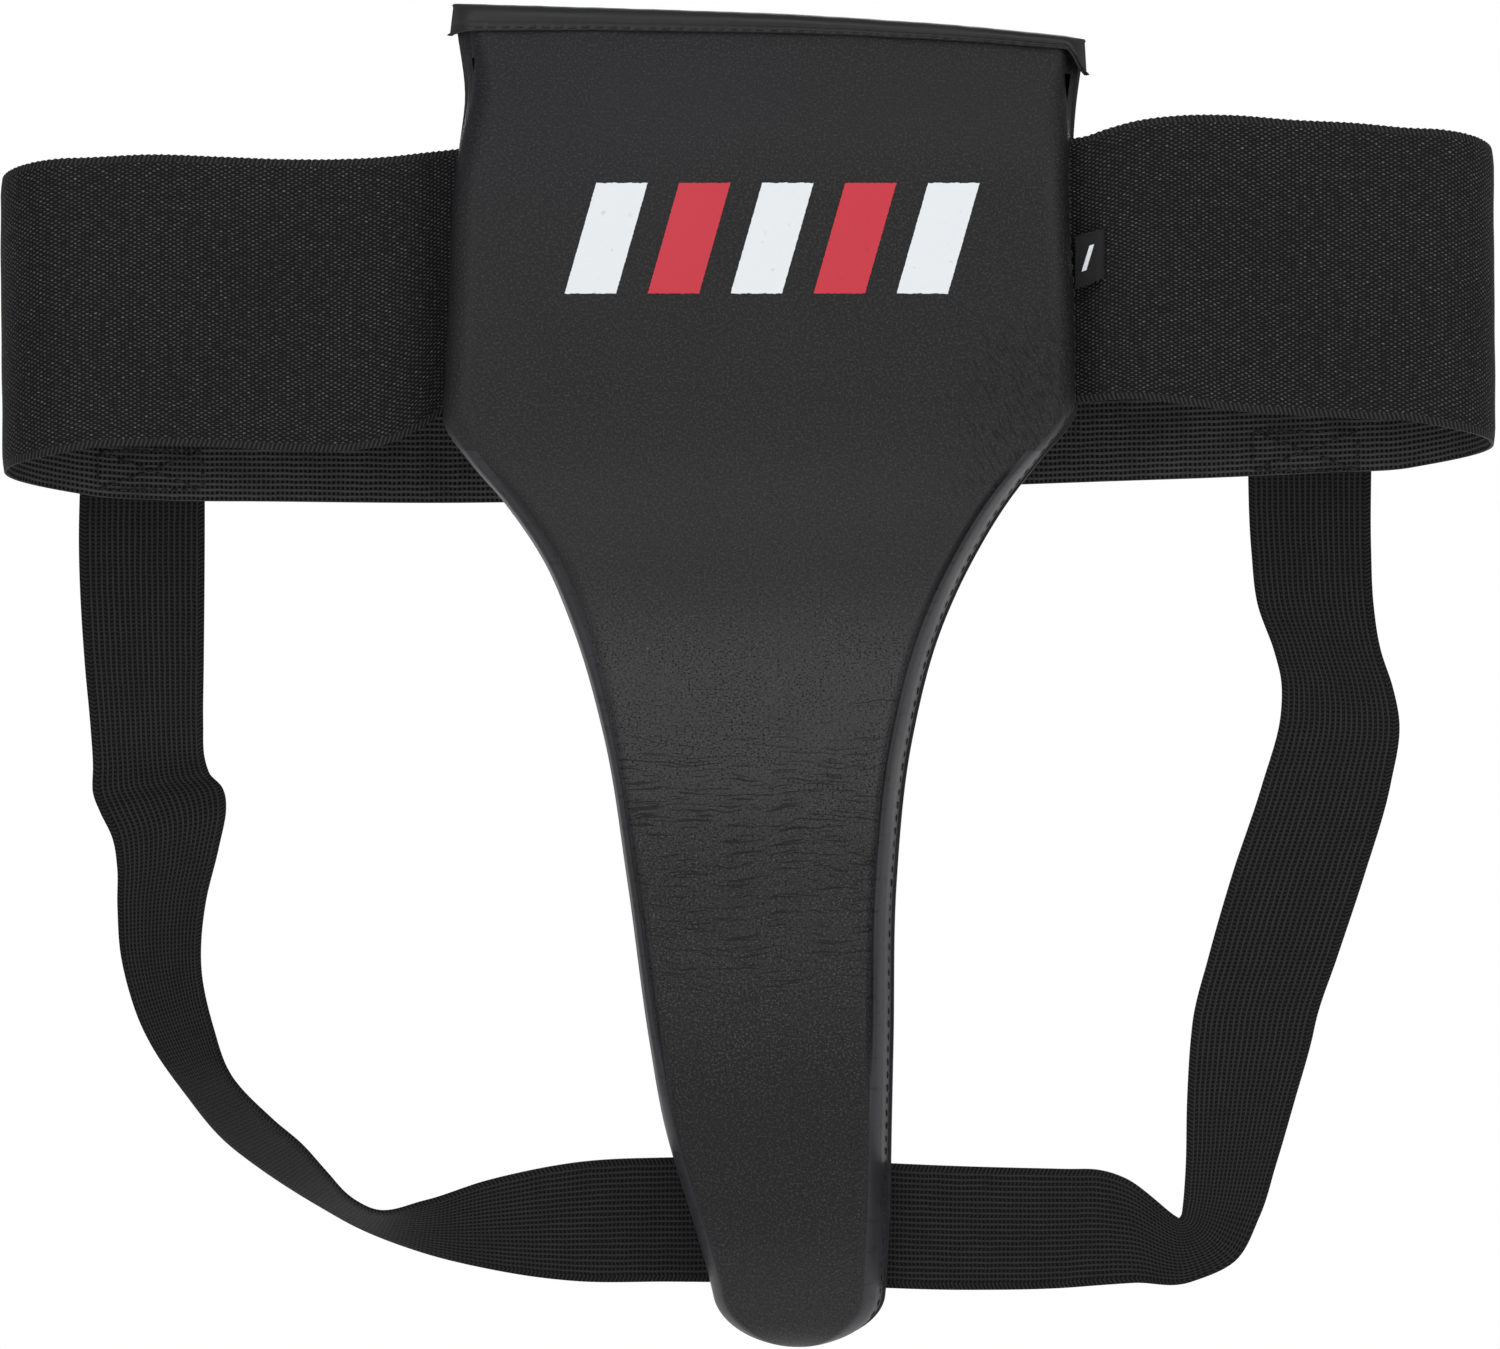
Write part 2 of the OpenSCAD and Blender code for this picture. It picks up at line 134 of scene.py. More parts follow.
def outline_x(z, column):
    middle = (hermite(OUTLINE, z, 1) + hermite(OUTLINE, z, 2)) / 2
    share = tip_share(z)
    return middle * (1 - share) + hermite(OUTLINE, z, column) * share


def pad_back(z):
    down = np.maximum(0, CURL_START - z) / (CURL_START - TIP_Z)
    return BACK_Y + TAIL_CURL * down ** CURL_POWER


def pad_depth(z):
    near_end = np.clip((z - TIP_Z) / 9.0, 0, 1)
    round_off = 0.3 + 0.7 * np.sqrt(1 - (1 - near_end) ** 2)
    taper = 0.82 + 0.18 * np.minimum(1, (z - TIP_Z) / 150)
    return PAD_THICKNESS * taper * round_off - TOP_THINNING * smoothstep(26, 68, z) ** 1.2


def seam_height(x):
    """Height of the seam under the binding, which is bowed and falls to the right."""
    return np.interp(x, BINDING_EDGES[:, 0], BINDING_EDGES[:, 1])


def tilt(z, x):
    """Extra height that makes the levels near the top follow the seam."""
    return (seam_height(x) - TOP_Z) * np.maximum(0, (z - LEVEL_Z) / (TOP_Z - LEVEL_Z))


def catmull(points, spacing, each=None):
    """Smooth curve through points of any dimension, sampled about every spacing mm, or
    with the same number of samples between each two points."""
    points = np.asarray(points, float)
    ends = np.vstack([2 * points[0] - points[1], points, 2 * points[-1] - points[-2]])
    out = []
    for i in range(1, len(ends) - 2):
        a, b, c, d = ends[i - 1:i + 3]
        count = each or max(2, int(round(np.linalg.norm((c - b)[:3]) / spacing)))
        t = np.linspace(0, 1, count, endpoint=False)[:, None]
        before = np.linalg.norm(b - a) + 1e-9
        here = np.linalg.norm(c - b) + 1e-9
        after = np.linalg.norm(d - c) + 1e-9
        slope_b = ((b - a) / before * here + (c - b) / here * before) / (before + here) * here
        slope_c = ((c - b) / here * after + (d - c) / after * here) / (here + after) * here
        out.append((2 * t ** 3 - 3 * t ** 2 + 1) * b + (t ** 3 - 2 * t ** 2 + t) * slope_b
                   + (3 * t ** 2 - 2 * t ** 3) * c + (t ** 3 - t ** 2) * slope_c)
    out.append(points[-1:])
    return np.vstack(out)


def travelled(points):
    """Distance along a polyline at each of its points."""
    return np.concatenate([[0], np.cumsum(np.linalg.norm(np.diff(points, axis=0), axis=1))])


def soft_noise(x, z, scale, seed):
    """Sum of a few seeded sine waves, between about -1 and 1."""
    waves = np.random.default_rng(seed)
    total = 0
    for _ in range(5):
        angle = waves.uniform(0, math.tau)
        size = scale * waves.uniform(0.6, 1.6)
        phase = waves.uniform(0, math.tau)
        total = total + np.sin((x * math.cos(angle) + z * math.sin(angle)) * math.tau / size + phase)
    return total / 3.2


# ---- Meshes ----


def add_object(name, data):
    made = bpy.data.objects.new(name, data)
    bpy.context.scene.collection.objects.link(made)
    return made


def make_piece(name, points, faces, uv, materials, indices=None, sharp=50):
    """Object from points in millimetres, with a UV map in metres."""
    mesh = bpy.data.meshes.new(name)
    mesh.from_pydata((np.asarray(points) * MM).tolist(), [], [list(map(int, f)) for f in faces])
    for material in materials:
        mesh.materials.append(material)
    layer = mesh.uv_layers.new(name="cloth")
    corners = np.empty(len(mesh.loops), dtype=np.int32)
    mesh.loops.foreach_get("vertex_index", corners)
    layer.data.foreach_set("uv", (np.asarray(uv)[corners] * MM).astype(np.float32).ravel())
    if indices is not None:
        mesh.polygons.foreach_set("material_index", np.asarray(indices, dtype=np.int32))
    mesh.update()
    mesh.shade_smooth()
    mesh.set_sharp_from_angle(angle=math.radians(sharp))
    return add_object(name, mesh)


def grid_normals(grid):
    across = np.gradient(grid, axis=1)
    along = np.gradient(grid, axis=0)
    normal = np.cross(across, along)
    return normal / np.maximum(np.linalg.norm(normal, axis=2, keepdims=True), 1e-9)


def closed_faces(rows, columns):
    """Faces round a grid of points and a second grid behind it: front, back and rim."""
    index = np.arange(rows * columns).reshape(rows, columns)
    a, b = index[:-1, :-1].ravel(), index[:-1, 1:].ravel()
    c, d = index[1:, 1:].ravel(), index[1:, :-1].ravel()
    far = rows * columns
    border = np.concatenate([index[0, :-1], index[:-1, -1], index[-1, :0:-1], index[:0:-1, 0]])
    following = np.roll(border, -1)
    return (np.stack([a, b, c, d], 1), np.stack([d, c, b, a], 1) + far,
            np.stack([following, border, border + far, following + far], 1))


def shell(name, grid, uv, thickness, materials, front=0.5, edge=(), sharp=50):
    """Closed sheet round a grid of points: rows run along it and columns across it.
    front is the share of the thickness on the normal's side, and edge thins the outermost
    columns. materials are the front's and the back's."""
    rows, columns = grid.shape[:2]
    thick = np.full(columns, float(thickness))
    for j, share in enumerate(edge):
        thick[j] *= share
        thick[-1 - j] *= share
    offset = grid_normals(grid) * thick[None, :, None]
    points = np.concatenate([(grid + offset * front).reshape(-1, 3),
                             (grid - offset * (1 - front)).reshape(-1, 3)])
    top, bottom, rim = closed_faces(rows, columns)
    indices = np.concatenate([np.zeros(len(top)), np.full(len(bottom), len(materials) - 1),
                              np.zeros(len(rim))])
    flat = uv.reshape(-1, 2)
    return make_piece(name, points, np.concatenate([top, bottom, rim]),
                      np.concatenate([flat, flat]), materials, indices, sharp)


def lofted(name, rings, material, sharp=40):
    """Closed solid through rings of points."""
    rings = np.asarray(rings, float)
    count, sides = rings.shape[:2]
    index = np.arange(count * sides).reshape(count, sides)
    ahead = np.roll(index, -1, axis=1)
    walls = np.stack([index[:-1].ravel(), ahead[:-1].ravel(), ahead[1:].ravel(),
                      index[1:].ravel()], 1)
    faces = walls.tolist() + [index[0, ::-1].tolist(), index[-1].tolist()]
    flat = rings.reshape(-1, 3)
    return make_piece(name, flat, faces, flat[:, [0, 2]], [material], sharp=sharp)


def unit(vector):
    return vector / max(np.linalg.norm(vector), 1e-6)


def read_at(table, way, s):
    """Row of a table at distance s along the line that way belongs to."""
    return np.array([np.interp(s, way, table[:, k]) for k in range(3)])


# Rings of one stitch: place along its length, size and lift as shares of the radius
STITCH_RINGS = [(-0.5, 0.35, -0.6), (-0.38, 0.8, 0.1), (-0.15, 1, 0.75), (0.15, 1, 0.75),
                (0.38, 0.8, 0.1), (0.5, 0.35, -0.6)]
STITCH_SIDES = 6


def stitches(name, runs, pitch, length, radius, skew=0.0):
    """Rows of thread stitches. Each run is (points, normals): a line on the cloth and the
    cloth's outward direction along it."""
    points, faces, sides = [], [], STITCH_SIDES
    for line, normals in runs:
        line, normals = np.asarray(line, float), np.asarray(normals, float)
        way = travelled(line)
        for s in np.arange(pitch * 0.6, way[-1] - pitch * 0.4, pitch):
            wobble = rng.uniform(-0.06, 0.06, 3) * pitch
            start = len(points)
            for share, size, lift in STITCH_RINGS:
                at = s + share * length
                out = unit(read_at(normals, way, at))
                along = unit(read_at(line, way, at + 0.3) - read_at(line, way, at - 0.3))
                side = unit(np.cross(out, along))
                middle = (read_at(line, way, at) + out * radius * lift
                          + side * skew * share * length + wobble * 0.5)
                for k in range(sides):
                    turn = math.tau * k / sides
                    around = side * math.cos(turn) + out * math.sin(turn)
                    points.append(middle + around * radius * size)
            last = start + (len(STITCH_RINGS) - 1) * sides
            for ring in range(start, last, sides):
                for k in range(sides):
                    a, b = ring + k, ring + (k + 1) % sides
                    faces.append([a, b, b + sides, a + sides])
            faces.append([start + k for k in range(sides - 1, -1, -1)])
            faces.append([last + k for k in range(sides)])
    points = np.asarray(points)
    return make_piece(name, points, faces, points[:, [0, 2]], [THREAD], sharp=70)


def make_thread(name, body, cad_node, runs, *sizes, skew=0.0):
    """Thread piece that rides with one body."""
    piece = stitches(name, runs, *sizes, skew=skew)
    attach(piece, body)
    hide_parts(cad_node)


# ---- Materials ----


def feed(tree, socket, value):
    """Gives a node's input a number, a colour or a link."""
    value = getattr(value, "socket", value)
    if isinstance(value, bpy.types.NodeSocket):
        tree.links.new(value, socket)
    else:
        socket.default_value = value


def make_node(tree, kind, inputs=(), **settings):
    node = tree.nodes.new(kind)
    for key, value in settings.items():
        setattr(node, key, value)
    for key, value in dict(inputs).items():
        feed(tree, node.inputs[key], value)
    return node


def tint(colour):
    """Colour with its alpha, from three numbers, one grey or a value in a node tree."""
    if isinstance(colour, Value):
        return colour
    return (*colour, 1.0) if isinstance(colour, tuple) else (colour, colour, colour, 1.0)


class Value:
    """Output of a node. Sums, products and the calls below write the nodes they need."""

    def __init__(self, tree, socket):
        self.tree, self.socket = tree, socket

    def work(self, operation, *values):
        """Result of a math node: of this value, or of those given."""
        return Value(self.tree, make_node(self.tree, "ShaderNodeMath", enumerate(values or [self]),
                                          operation=operation).outputs[0])

    def __add__(self, other):
        return self.work("ADD", self, other)

    def __sub__(self, number):
        return self.work("ADD", self, -number)

    def __rsub__(self, number):
        return self.work("SUBTRACT", number, self)

    def __mul__(self, other):
        return self.work("MULTIPLY", self, other)

    def most(self, other):
        return self.work("MAXIMUM", self, other)

    def wave(self, pitch):
        """Cosine of a distance in metres, with the given pitch in millimetres."""
        return (self * (math.tau / (pitch * MM))).work("COSINE")

    def ramp(self, low, high, start=0.0, end=1.0):
        """Smooth change from start at low to end at high."""
        limits = {"Value": self, "From Min": low, "From Max": high, "To Min": start, "To Max": end}
        return Value(self.tree, make_node(self.tree, "ShaderNodeMapRange", limits,
                                          interpolation_type="SMOOTHSTEP").outputs[0])


class Look:
    """A material. u and v are the cloth's own coordinates in metres."""

    def __init__(self, name, roughness=0.5, specular=0.5):
        self.material = bpy.data.materials.new(name)
        self.material.use_nodes = True
        self.tree = self.material.node_tree
        self.set("Roughness", roughness)
        self.set("Specular IOR Level", specular)
        self.uv = self.put("ShaderNodeUVMap", uv_map="cloth")
        self.u, self.v = self.both("ShaderNodeSeparateXYZ", {0: self.uv})

    def set(self, name, value):
        feed(self.tree, self.tree.nodes["Principled BSDF"].inputs[name], value)

    def put(self, kind, inputs=(), **settings):
        return Value(self.tree, make_node(self.tree, kind, inputs, **settings).outputs[0])

    def both(self, kind, inputs):
        """First two outputs of a node."""
        node = make_node(self.tree, kind, inputs)
        return Value(self.tree, node.outputs[0]), Value(self.tree, node.outputs[1])

    def point(self, x, y, z=0.0):
        return self.put("ShaderNodeCombineXYZ", {0: x, 1: y, 2: z})

    def noise(self, scale, detail=2.0, vector=None, rough=0.5):
        return self.put("ShaderNodeTexNoise", {"Vector": vector or self.uv, "Scale": scale,
                                               "Detail": detail, "Roughness": rough})

    def cells(self, density):
        """Distance to the nearest of scattered points, and that point's random colour."""
        return self.both("ShaderNodeTexVoronoi", {"Vector": self.uv, "Scale": density})

    def blend(self, factor, a, b):
        node = make_node(self.tree, "ShaderNodeMix", {0: factor}, data_type="RGBA")
        feed(self.tree, node.inputs[6], tint(a))
        feed(self.tree, node.inputs[7], tint(b))
        return Value(self.tree, node.outputs[2])

    def dim(self, colour, factor):
        """Colour times a number."""
        return self.put("ShaderNodeVectorMath", {0: colour, "Scale": factor}, operation="SCALE")

    def bump(self, height, depth, strength=1.0, under=None):
        """Relief of the given depth in millimetres; under is a bump to add it to."""
        inputs = {"Height": height, "Distance": depth * MM, "Strength": strength}
        return self.put("ShaderNodeBump", inputs if under is None else {**inputs, "Normal": under})

    def finish(self, colour, normal):
        self.set("Base Color", colour)
        self.set("Normal", normal)
        return self.material


def dust(look, base, density=75.0, size=0.020):
    """Adds a few pale specks of dust to a colour."""
    distance, random = look.cells(density)
    red, green = look.both("ShaderNodeSeparateColor", {0: random})
    speck = distance.ramp(size, size * 0.55) * red.ramp(0.78, 0.86) * green
    return look.blend(speck, base, (0.2070, 0.2070, 0.2139))


def cover_look():
    """Matt synthetic leather: leather grain, coarser down the tail from wear, whose raised specks are
    painted pale as painted highlights; cross creases down the tail and wrinkles that run to the right
    waist corner, painted dark as painted shade in their folds; and painted light and shade down the tail."""
    look = Look("cover_vinyl", specular=0.22)
    u, v, noise = look.u, look.v, look.noise
    worn_grain_and_sheen = v.ramp(-0.060, -0.092) * v.ramp(-0.215, -0.165, 0.30, 1.0)
    worn_grain_and_sheen = worn_grain_and_sheen * noise(60.0).ramp(0.36, 0.62, 0.55, 1.0)
    grain_and_sheen_amount = worn_grain_and_sheen.ramp(0.0, 1.0, 0.42, 1.0)
    coarse = noise(1650.0, rough=0.6)
    fine = noise(2900.0, rough=0.6)
    light = (coarse * 0.6 + fine * 0.4).ramp(0.51, 0.60) * grain_and_sheen_amount
    dark = noise(1500.0, 1.0, look.point(v * 1.6, u, 0.7)).ramp(0.46, 0.36) * grain_and_sheen_amount

    # Cross creases: broken lines in clusters, and fine ones close together
    height = v + (noise(38.0, 3.0) - 0.5) * 0.009
    line = ((height * (1 / (1.9 * MM))).work("FRACT") - 0.5).work("ABSOLUTE").ramp(0.10, 0.02)
    long_dash = noise(1.0, 2.0, look.point(u * 46.0, height * 560.0)).ramp(0.53, 0.59)
    cluster = noise(1.0, 1.0, look.point(u * 14.0, v * 52.0, 4.2)).ramp(0.40, 0.58)
    zone = v.ramp(-0.082, -0.108) * v.ramp(-0.180, -0.138)
    crease = line * long_dash * (zone * cluster)
    dense = v.ramp(-0.085, -0.125, 0.25, 1.0) * v.ramp(-0.205, -0.165) * v.ramp(-0.066, -0.090)
    tight = noise(1.0, 2.0, look.point(u * 90.0, height * 1500.0)).ramp(0.53, 0.64)
    crease = crease.most(tight * (dense * 0.75)).ramp(0.22, 0.95)

    # Wrinkles at the waist corner, which lie aslant
    slant = look.point((u * 0.5 + v * -0.87) * 260.0, (u * 0.87 + v * 0.5) * 1350.0)
    near = u.ramp(0.036, 0.066) * v.ramp(0.008, -0.014) * v.ramp(-0.062, -0.044)
    wrinkle = noise(1.0, 2.0, slant).ramp(0.53, 0.62) * near

    # Painted light: a bluish sheen painted at the upper left, and painted light and shade in bands down the
    # tail and near the top
    cloud = noise(14.0, 3.0)
    base = look.blend(cloud.ramp(0.35, 0.65), (0.0146, 0.0146, 0.0147), (0.0161, 0.0161, 0.0168))
    # Painted sheen: lighter and bluer at the upper left
    painted_bluish_sheen = v.ramp(0.0, 0.06) * u.ramp(0.06, -0.04)
    base = look.blend(painted_bluish_sheen * 0.7, base, (0.0166, 0.0166, 0.0205))
    # Painted light and shade: lighter and darker bands down the tail, and a darker band near the top, scale the
    # colour
    painted_light_tone = v.ramp(-0.022, -0.052, 0.78, 1.20)
    for start, end, change in ((-0.066, -0.096, 1.30), (-0.110, -0.150, -1.22),
                               (-0.160, -0.200, -0.70), (-0.228, -0.262, 0.74),
                               (0.036, 0.066, -0.14)):
        painted_light_tone = painted_light_tone + v.ramp(start, end, 0.0, change)
    # Painted shade: the rolled upper right edge above the waist is darkened to 0.45 of its colour
    rolled = u.ramp(0.070, 0.079) * v.ramp(-0.030, -0.020)
    base = look.dim(base, painted_light_tone * rolled.ramp(0.0, 1.0, 1.0, 0.45))
    # Pale specks of the raised grain: grain, painted lighter as painted highlights
    base = look.blend(light * 0.85, base, (0.0690, 0.0690, 0.0707))
    base = look.blend(dark * 0.95, base, 0.0021)
    # Painted shade: creases and wrinkles painted near black in their folds, over their bump relief
    base = look.blend(crease.most(wrinkle * 0.7) * 0.9, base, 0.0028)
    look.set("Roughness", (coarse * 0.5 + cloud * 0.5).ramp(0.3, 0.7, 0.44, 0.58))
    normal = look.bump(light + dark * -0.7, 0.08, 0.8)
    normal = look.bump(1.0 - crease.most(wrinkle), 0.14, 0.8, normal)
    normal = look.bump(noise(120.0, 3.0), 0.10, 0.35, normal)
    return look.finish(dust(look, base), normal)


def side_look_painted_light():
    """Smoother strip of the same vinyl that the side walls are cut from, painted paler as painted light, with
    fine ripples painted darker as painted shade.
    """
    look = Look("cover_side_vinyl_painted_light", specular=0.27)
    cloud = look.noise(30.0, 3.0)
    # Painted light: paler colours than the front's vinyl
    base = look.blend(cloud.ramp(0.35, 0.65), (0.0200, 0.0200, 0.0217), (0.0293, 0.0293, 0.0328))
    pucker_and_shade = look.noise(1.0, 2.0, look.point(look.u * 160.0, look.v * 620.0))
    # Painted shade in the ripples
    base = look.blend(pucker_and_shade.ramp(0.56, 0.68, 0.0, 0.6), base, (0.0083, 0.0083, 0.0090))
    look.set("Roughness", cloud.ramp(0.3, 0.7, 0.42, 0.55))
    return look.finish(base, look.bump(pucker_and_shade, 0.15, 0.5))


def smooth_vinyl_look(name, dark, light, grain):
    """Thin coated cloth of the binding and the lining."""
    look = Look(name, specular=0.32)
    cloud = look.noise(35.0, 3.0)
    base = look.blend(cloud.ramp(0.35, 0.65), dark, light)
    look.set("Roughness", cloud.ramp(0.3, 0.7, 0.40, 0.54))
    normal = look.bump(look.noise(1100.0, 3.0), 0.05, grain)
    normal = look.bump(look.noise(160.0), 0.12, 0.4, normal)
    return look.finish(dust(look, base, 90.0, 0.018), normal)


def birdseye_look():
    """Outer face of the waistband: staggered loops, and ribs along both selvages."""
    look = Look("waist_elastic_outer", roughness=0.7, specular=0.17)
    u, v, noise = look.u, look.v, look.noise
    across = u + (noise(260.0) - 0.5) * 0.0011
    along = v + (noise(230.0, 2.0, look.point(v, u, 3.0)) - 0.5) * 0.0008
    loop = (along.wave(2.0) * across.wave(1.12)).ramp(0.05, 0.85)
    uneven = noise(420.0).ramp(0.32, 0.68, 0.45, 1.25)
    soft = noise(26.0).ramp(0.3, 0.7, 0.85, 1.15)
    bright = noise(700.0, 1.0).ramp(0.58, 0.72)
    edge = u.ramp(0.0021, 0.0017).most(u.ramp((BAND_WIDTH - 2.1) * MM, (BAND_WIDTH - 1.7) * MM))
    rib = (v + u * 0.35).wave(1.15).ramp(-0.2, 0.7)
    base = look.blend(loop * uneven * soft, (0.0017, 0.0017, 0.0019), (0.0552, 0.0552, 0.0555))
    base = look.blend(bright * loop * 0.7, base, 0.1380)
    base = look.blend(edge, base, look.blend(rib, 0.0041, (0.0290, 0.0290, 0.0293)))
    height = loop * (1.0 - edge) + rib * (edge * 0.6)
    return look.finish(dust(look, base, 34.0, 0.012), look.bump(height, 0.22, 0.8))


def grid_look():
    """Inner face of the waistband: cords across it and lighter lines along it."""
    look = Look("waist_elastic_inner", roughness=0.75, specular=0.14)
    warp = (look.noise(180.0) - 0.5) * 0.0006
    cord = (look.v + warp).wave(1.2).ramp(-0.5, 0.5)
    line = (look.u + warp).wave(1.45).ramp(-0.3, 0.6)
    uneven = look.noise(90.0, 3.0).ramp(0.3, 0.7, 0.55, 1.2)
    between = 1.0 - line
    base = look.blend(line * uneven, 0.0212, 0.0643)
    base = look.blend(cord * between * 0.5, base, 0.0419)
    base = look.blend((1.0 - cord) * between, base, 0.0010)
    return look.finish(base, look.bump(cord * 0.6 + line * 0.6, 0.25, 0.8))


def ladder_look():
    """Leg strap elastic: cords along it, cross threads with dark slots between them, and
    ribbed selvages."""
    look = Look("strap_elastic", roughness=0.7, specular=0.12)
    warp = (look.noise(150.0) - 0.5) * 0.0005
    across = look.u + warp
    cord = across.wave(1.42).ramp(-0.1, 0.7)
    step = (look.v + warp) * (math.tau / (1.05 * MM)) + across.wave(2.84) * 0.7
    rung = step.work("COSINE").ramp(-0.15, 0.5)
    uneven = look.noise(120.0, 3.0).ramp(0.3, 0.7, 0.65, 1.2)
    base = look.blend(cord * uneven, (0.0118, 0.0118, 0.0120), (0.0213, 0.0213, 0.0216))
    base = look.blend((1.0 - cord) * (1.0 - rung), base, 0.0008)
    half = STRAP_WIDTH / 2 * MM
    from_middle = (look.u - half).work("ABSOLUTE")
    edge = from_middle.ramp(half - 0.0018, half - 0.0015)
    rib = (look.v + from_middle * 0.5).wave(1.05).ramp(-0.4, 0.6)
    trim = look.blend(rib, (0.0023, 0.0023, 0.0025), (0.0170, 0.0170, 0.0187))
    height = cord.most(rung * 0.7) * (1.0 - edge) + rib * (edge * 0.7)
    return look.finish(look.blend(edge, base, trim), look.bump(height, 0.22, 0.8))


def thread_look():
    look = Look("thread", roughness=0.45, specular=0.35)
    base = look.blend(look.noise(400.0).ramp(0.35, 0.65), 0.0083, 0.0207)
    return look.finish(base, look.bump((look.u + look.v).wave(0.5), 0.05, 0.6))


def foam_look(name, dark, light, density):
    look = Look(name, roughness=0.85, specular=0.2)
    pores, _ = look.cells(density)
    return look.finish(look.blend(pores.ramp(0.1, 0.7), dark, light), look.bump(pores, 0.25, 0.7))


def ink_look(name, thin, full):
    """Screen-printed ink, a little uneven in cover."""
    look = Look(name, roughness=0.45, specular=0.4)
    base = look.blend(look.noise(420.0, 4.0).ramp(0.22, 0.36), thin, full)
    return look.finish(base, look.bump(look.noise(900.0, 3.0), 0.05, 0.35))


def tag_look():
    look = Look("woven_tag", roughness=0.6, specular=0.21)
    weave = look.u.wave(0.5) * look.v.wave(0.5)
    base = look.blend(weave.ramp(-0.4, 0.6), 0.0041, (0.0138, 0.0138, 0.0145))
    return look.finish(base, look.bump(weave, 0.08, 0.6))


COVER = cover_look()
COVER_SIDE_PAINTED_LIGHT = side_look_painted_light()
LINING = smooth_vinyl_look("lining_vinyl", (0.0140, 0.0140, 0.0145), (0.0200, 0.0200, 0.0210),
                           0.6)
BINDING = smooth_vinyl_look("binding_vinyl", 0.0125, 0.0165, 0.25)
WAIST_OUTER = birdseye_look()
WAIST_INNER = grid_look()
LADDER = ladder_look()
THREAD = thread_look()
FIRM_FOAM = foam_look("impact_foam", (0.10, 0.10, 0.09), (0.26, 0.26, 0.23), 900.0)
SOFT_FOAM = foam_look("comfort_foam", (0.36, 0.33, 0.23), (0.62, 0.58, 0.44), 700.0)
INK_WHITE = ink_look("ink_white", (0.55, 0.57, 0.59), (0.72, 0.745, 0.765))
INK_RED = ink_look("ink_red", (0.37, 0.022, 0.035), (0.52, 0.029, 0.047))
TAG = tag_look()


# ---- Pad ----


def pad_levels(spacing, top=TOP_Z, low=TIP_Z):
    """Heights down the pad, closer together round the tip."""
    straight = np.arange(top, TIP_Z + TIP_ROUND, -spacing)
    angles = np.linspace(0, 88, 26)
    tip = TIP_Z + TIP_ROUND * (1 - np.sin(np.radians(angles)))
    levels = np.concatenate([straight[straight > tip[0] + spacing / 2], tip])
    return levels[levels >= low]


def crown_height(s, z):
    return CROWN * (1 - (2 * s - 1) ** 2) * (1 - 0.5 * smoothstep(40, 64, z))


def cover_relief(x, z):
    """How far the cover's front stands out of its plain shape: soft waves, wrinkles that
    run to the right waist corner, and folds across the tail."""
    waves = 0.20 * soft_noise(x, z * 1.4, 46, 3)
    beside, above = x - WAIST_CORNER[0], z - WAIST_CORNER[1]
    away = np.hypot(beside, above)
    angle = np.arctan2(above, beside)
    rays = np.sin(angle * 30 + 0.9 * np.sin(away * 0.3)) * np.exp(-away / 12) * 0.5
    rays = rays * smoothstep(0, 4, away)
    folds = 0.10 * soft_noise(x * 0.25, z, 9, 8)
    return waves + rays + folds * smoothstep(-60, -90, z) * smoothstep(-215, -170, z)


def front_height(s, x, z):
    """Crown and relief at share s of the front's width, where the relief fades at its ends."""
    return crown_height(s, z) + cover_relief(x, z) * np.minimum(1, np.minimum(s, 1 - s) * 12)


# Corner between a side wall and the front, as (distance in from the edge, depth below the
# front): the walls are sewn to the front down the tail, and roll into it above the waist.
# The groove of the seam flattens out towards the tip.
LEFT_SEAM = catmull([(0.2, 7.0), (0.45, 4.5), (1.0, 3.0), (2.0, 2.45), (3.1, 2.4), (3.9, 2.6),
                     (4.9, 1.8), (6.0, 0.6), (7.3, 0)], 1, each=3)
RIGHT_SEAM = catmull([(1.5, 7.0), (2.2, 4.9), (3.0, 3.0), (3.8, 1.9), (4.4, 1.85), (4.9, 2.5),
                      (5.5, 2.0), (6.4, 0.6), (7.6, 0)], 1, each=3)
LEFT_ROLL = (0.4, 5.0)
RIGHT_ROLL = (0.6, 5.6)
RIGHT_FOOT = -0.2
LEFT_FOOT = 0.5
# Points of a side wall, and of its seam up to the stitches
WALL_POINTS = 8
SEAM_POINTS = 15


def narrowing(z):
    """Share of the left wall that still shows, which turns out of sight down the tail."""
    return 1 - 0.42 * smoothstep(-62, -125, z)


def corner(seam, roll, z, share, room):
    """One corner's line at height z, blended from the rolled shape to the sewn one."""
    sewn = smoothstep(-24, -50, z)
    way = (seam[:, 0] - seam[0, 0]) / (seam[-1, 0] - seam[0, 0])
    plain = np.stack([seam[:, 0], seam[0, 1] * (1 - way) ** 2.2], 1)
    even = smoothstep(-182, -214, z)
    seam = seam * (1 - even) + plain * even
    turn = np.linspace(0, math.pi / 2, len(seam))
    inset, radius = roll
    top = smoothstep(40, 66, z) * 2.4
    rolled = np.stack([inset + top * (1 - turn / math.pi) + radius * (1 - np.cos(turn)),
                       radius * (1 - np.sin(turn))], 1)
    rolled[:, 0] += np.linspace(0, seam[-1, 0] - rolled[-1, 0], len(seam))
    line = rolled * (1 - sewn) + seam * sewn
    return line * [share, min(1.0, room / 9) * share ** 0.5]


def face_edges(z):
    """Where the flat front begins and ends at height z."""
    share = tip_share(z)
    return (outline_x(z, 1) + LEFT_SEAM[-1, 0] * share * narrowing(z),
            outline_x(z, 2) - RIGHT_SEAM[-1, 0] * share)


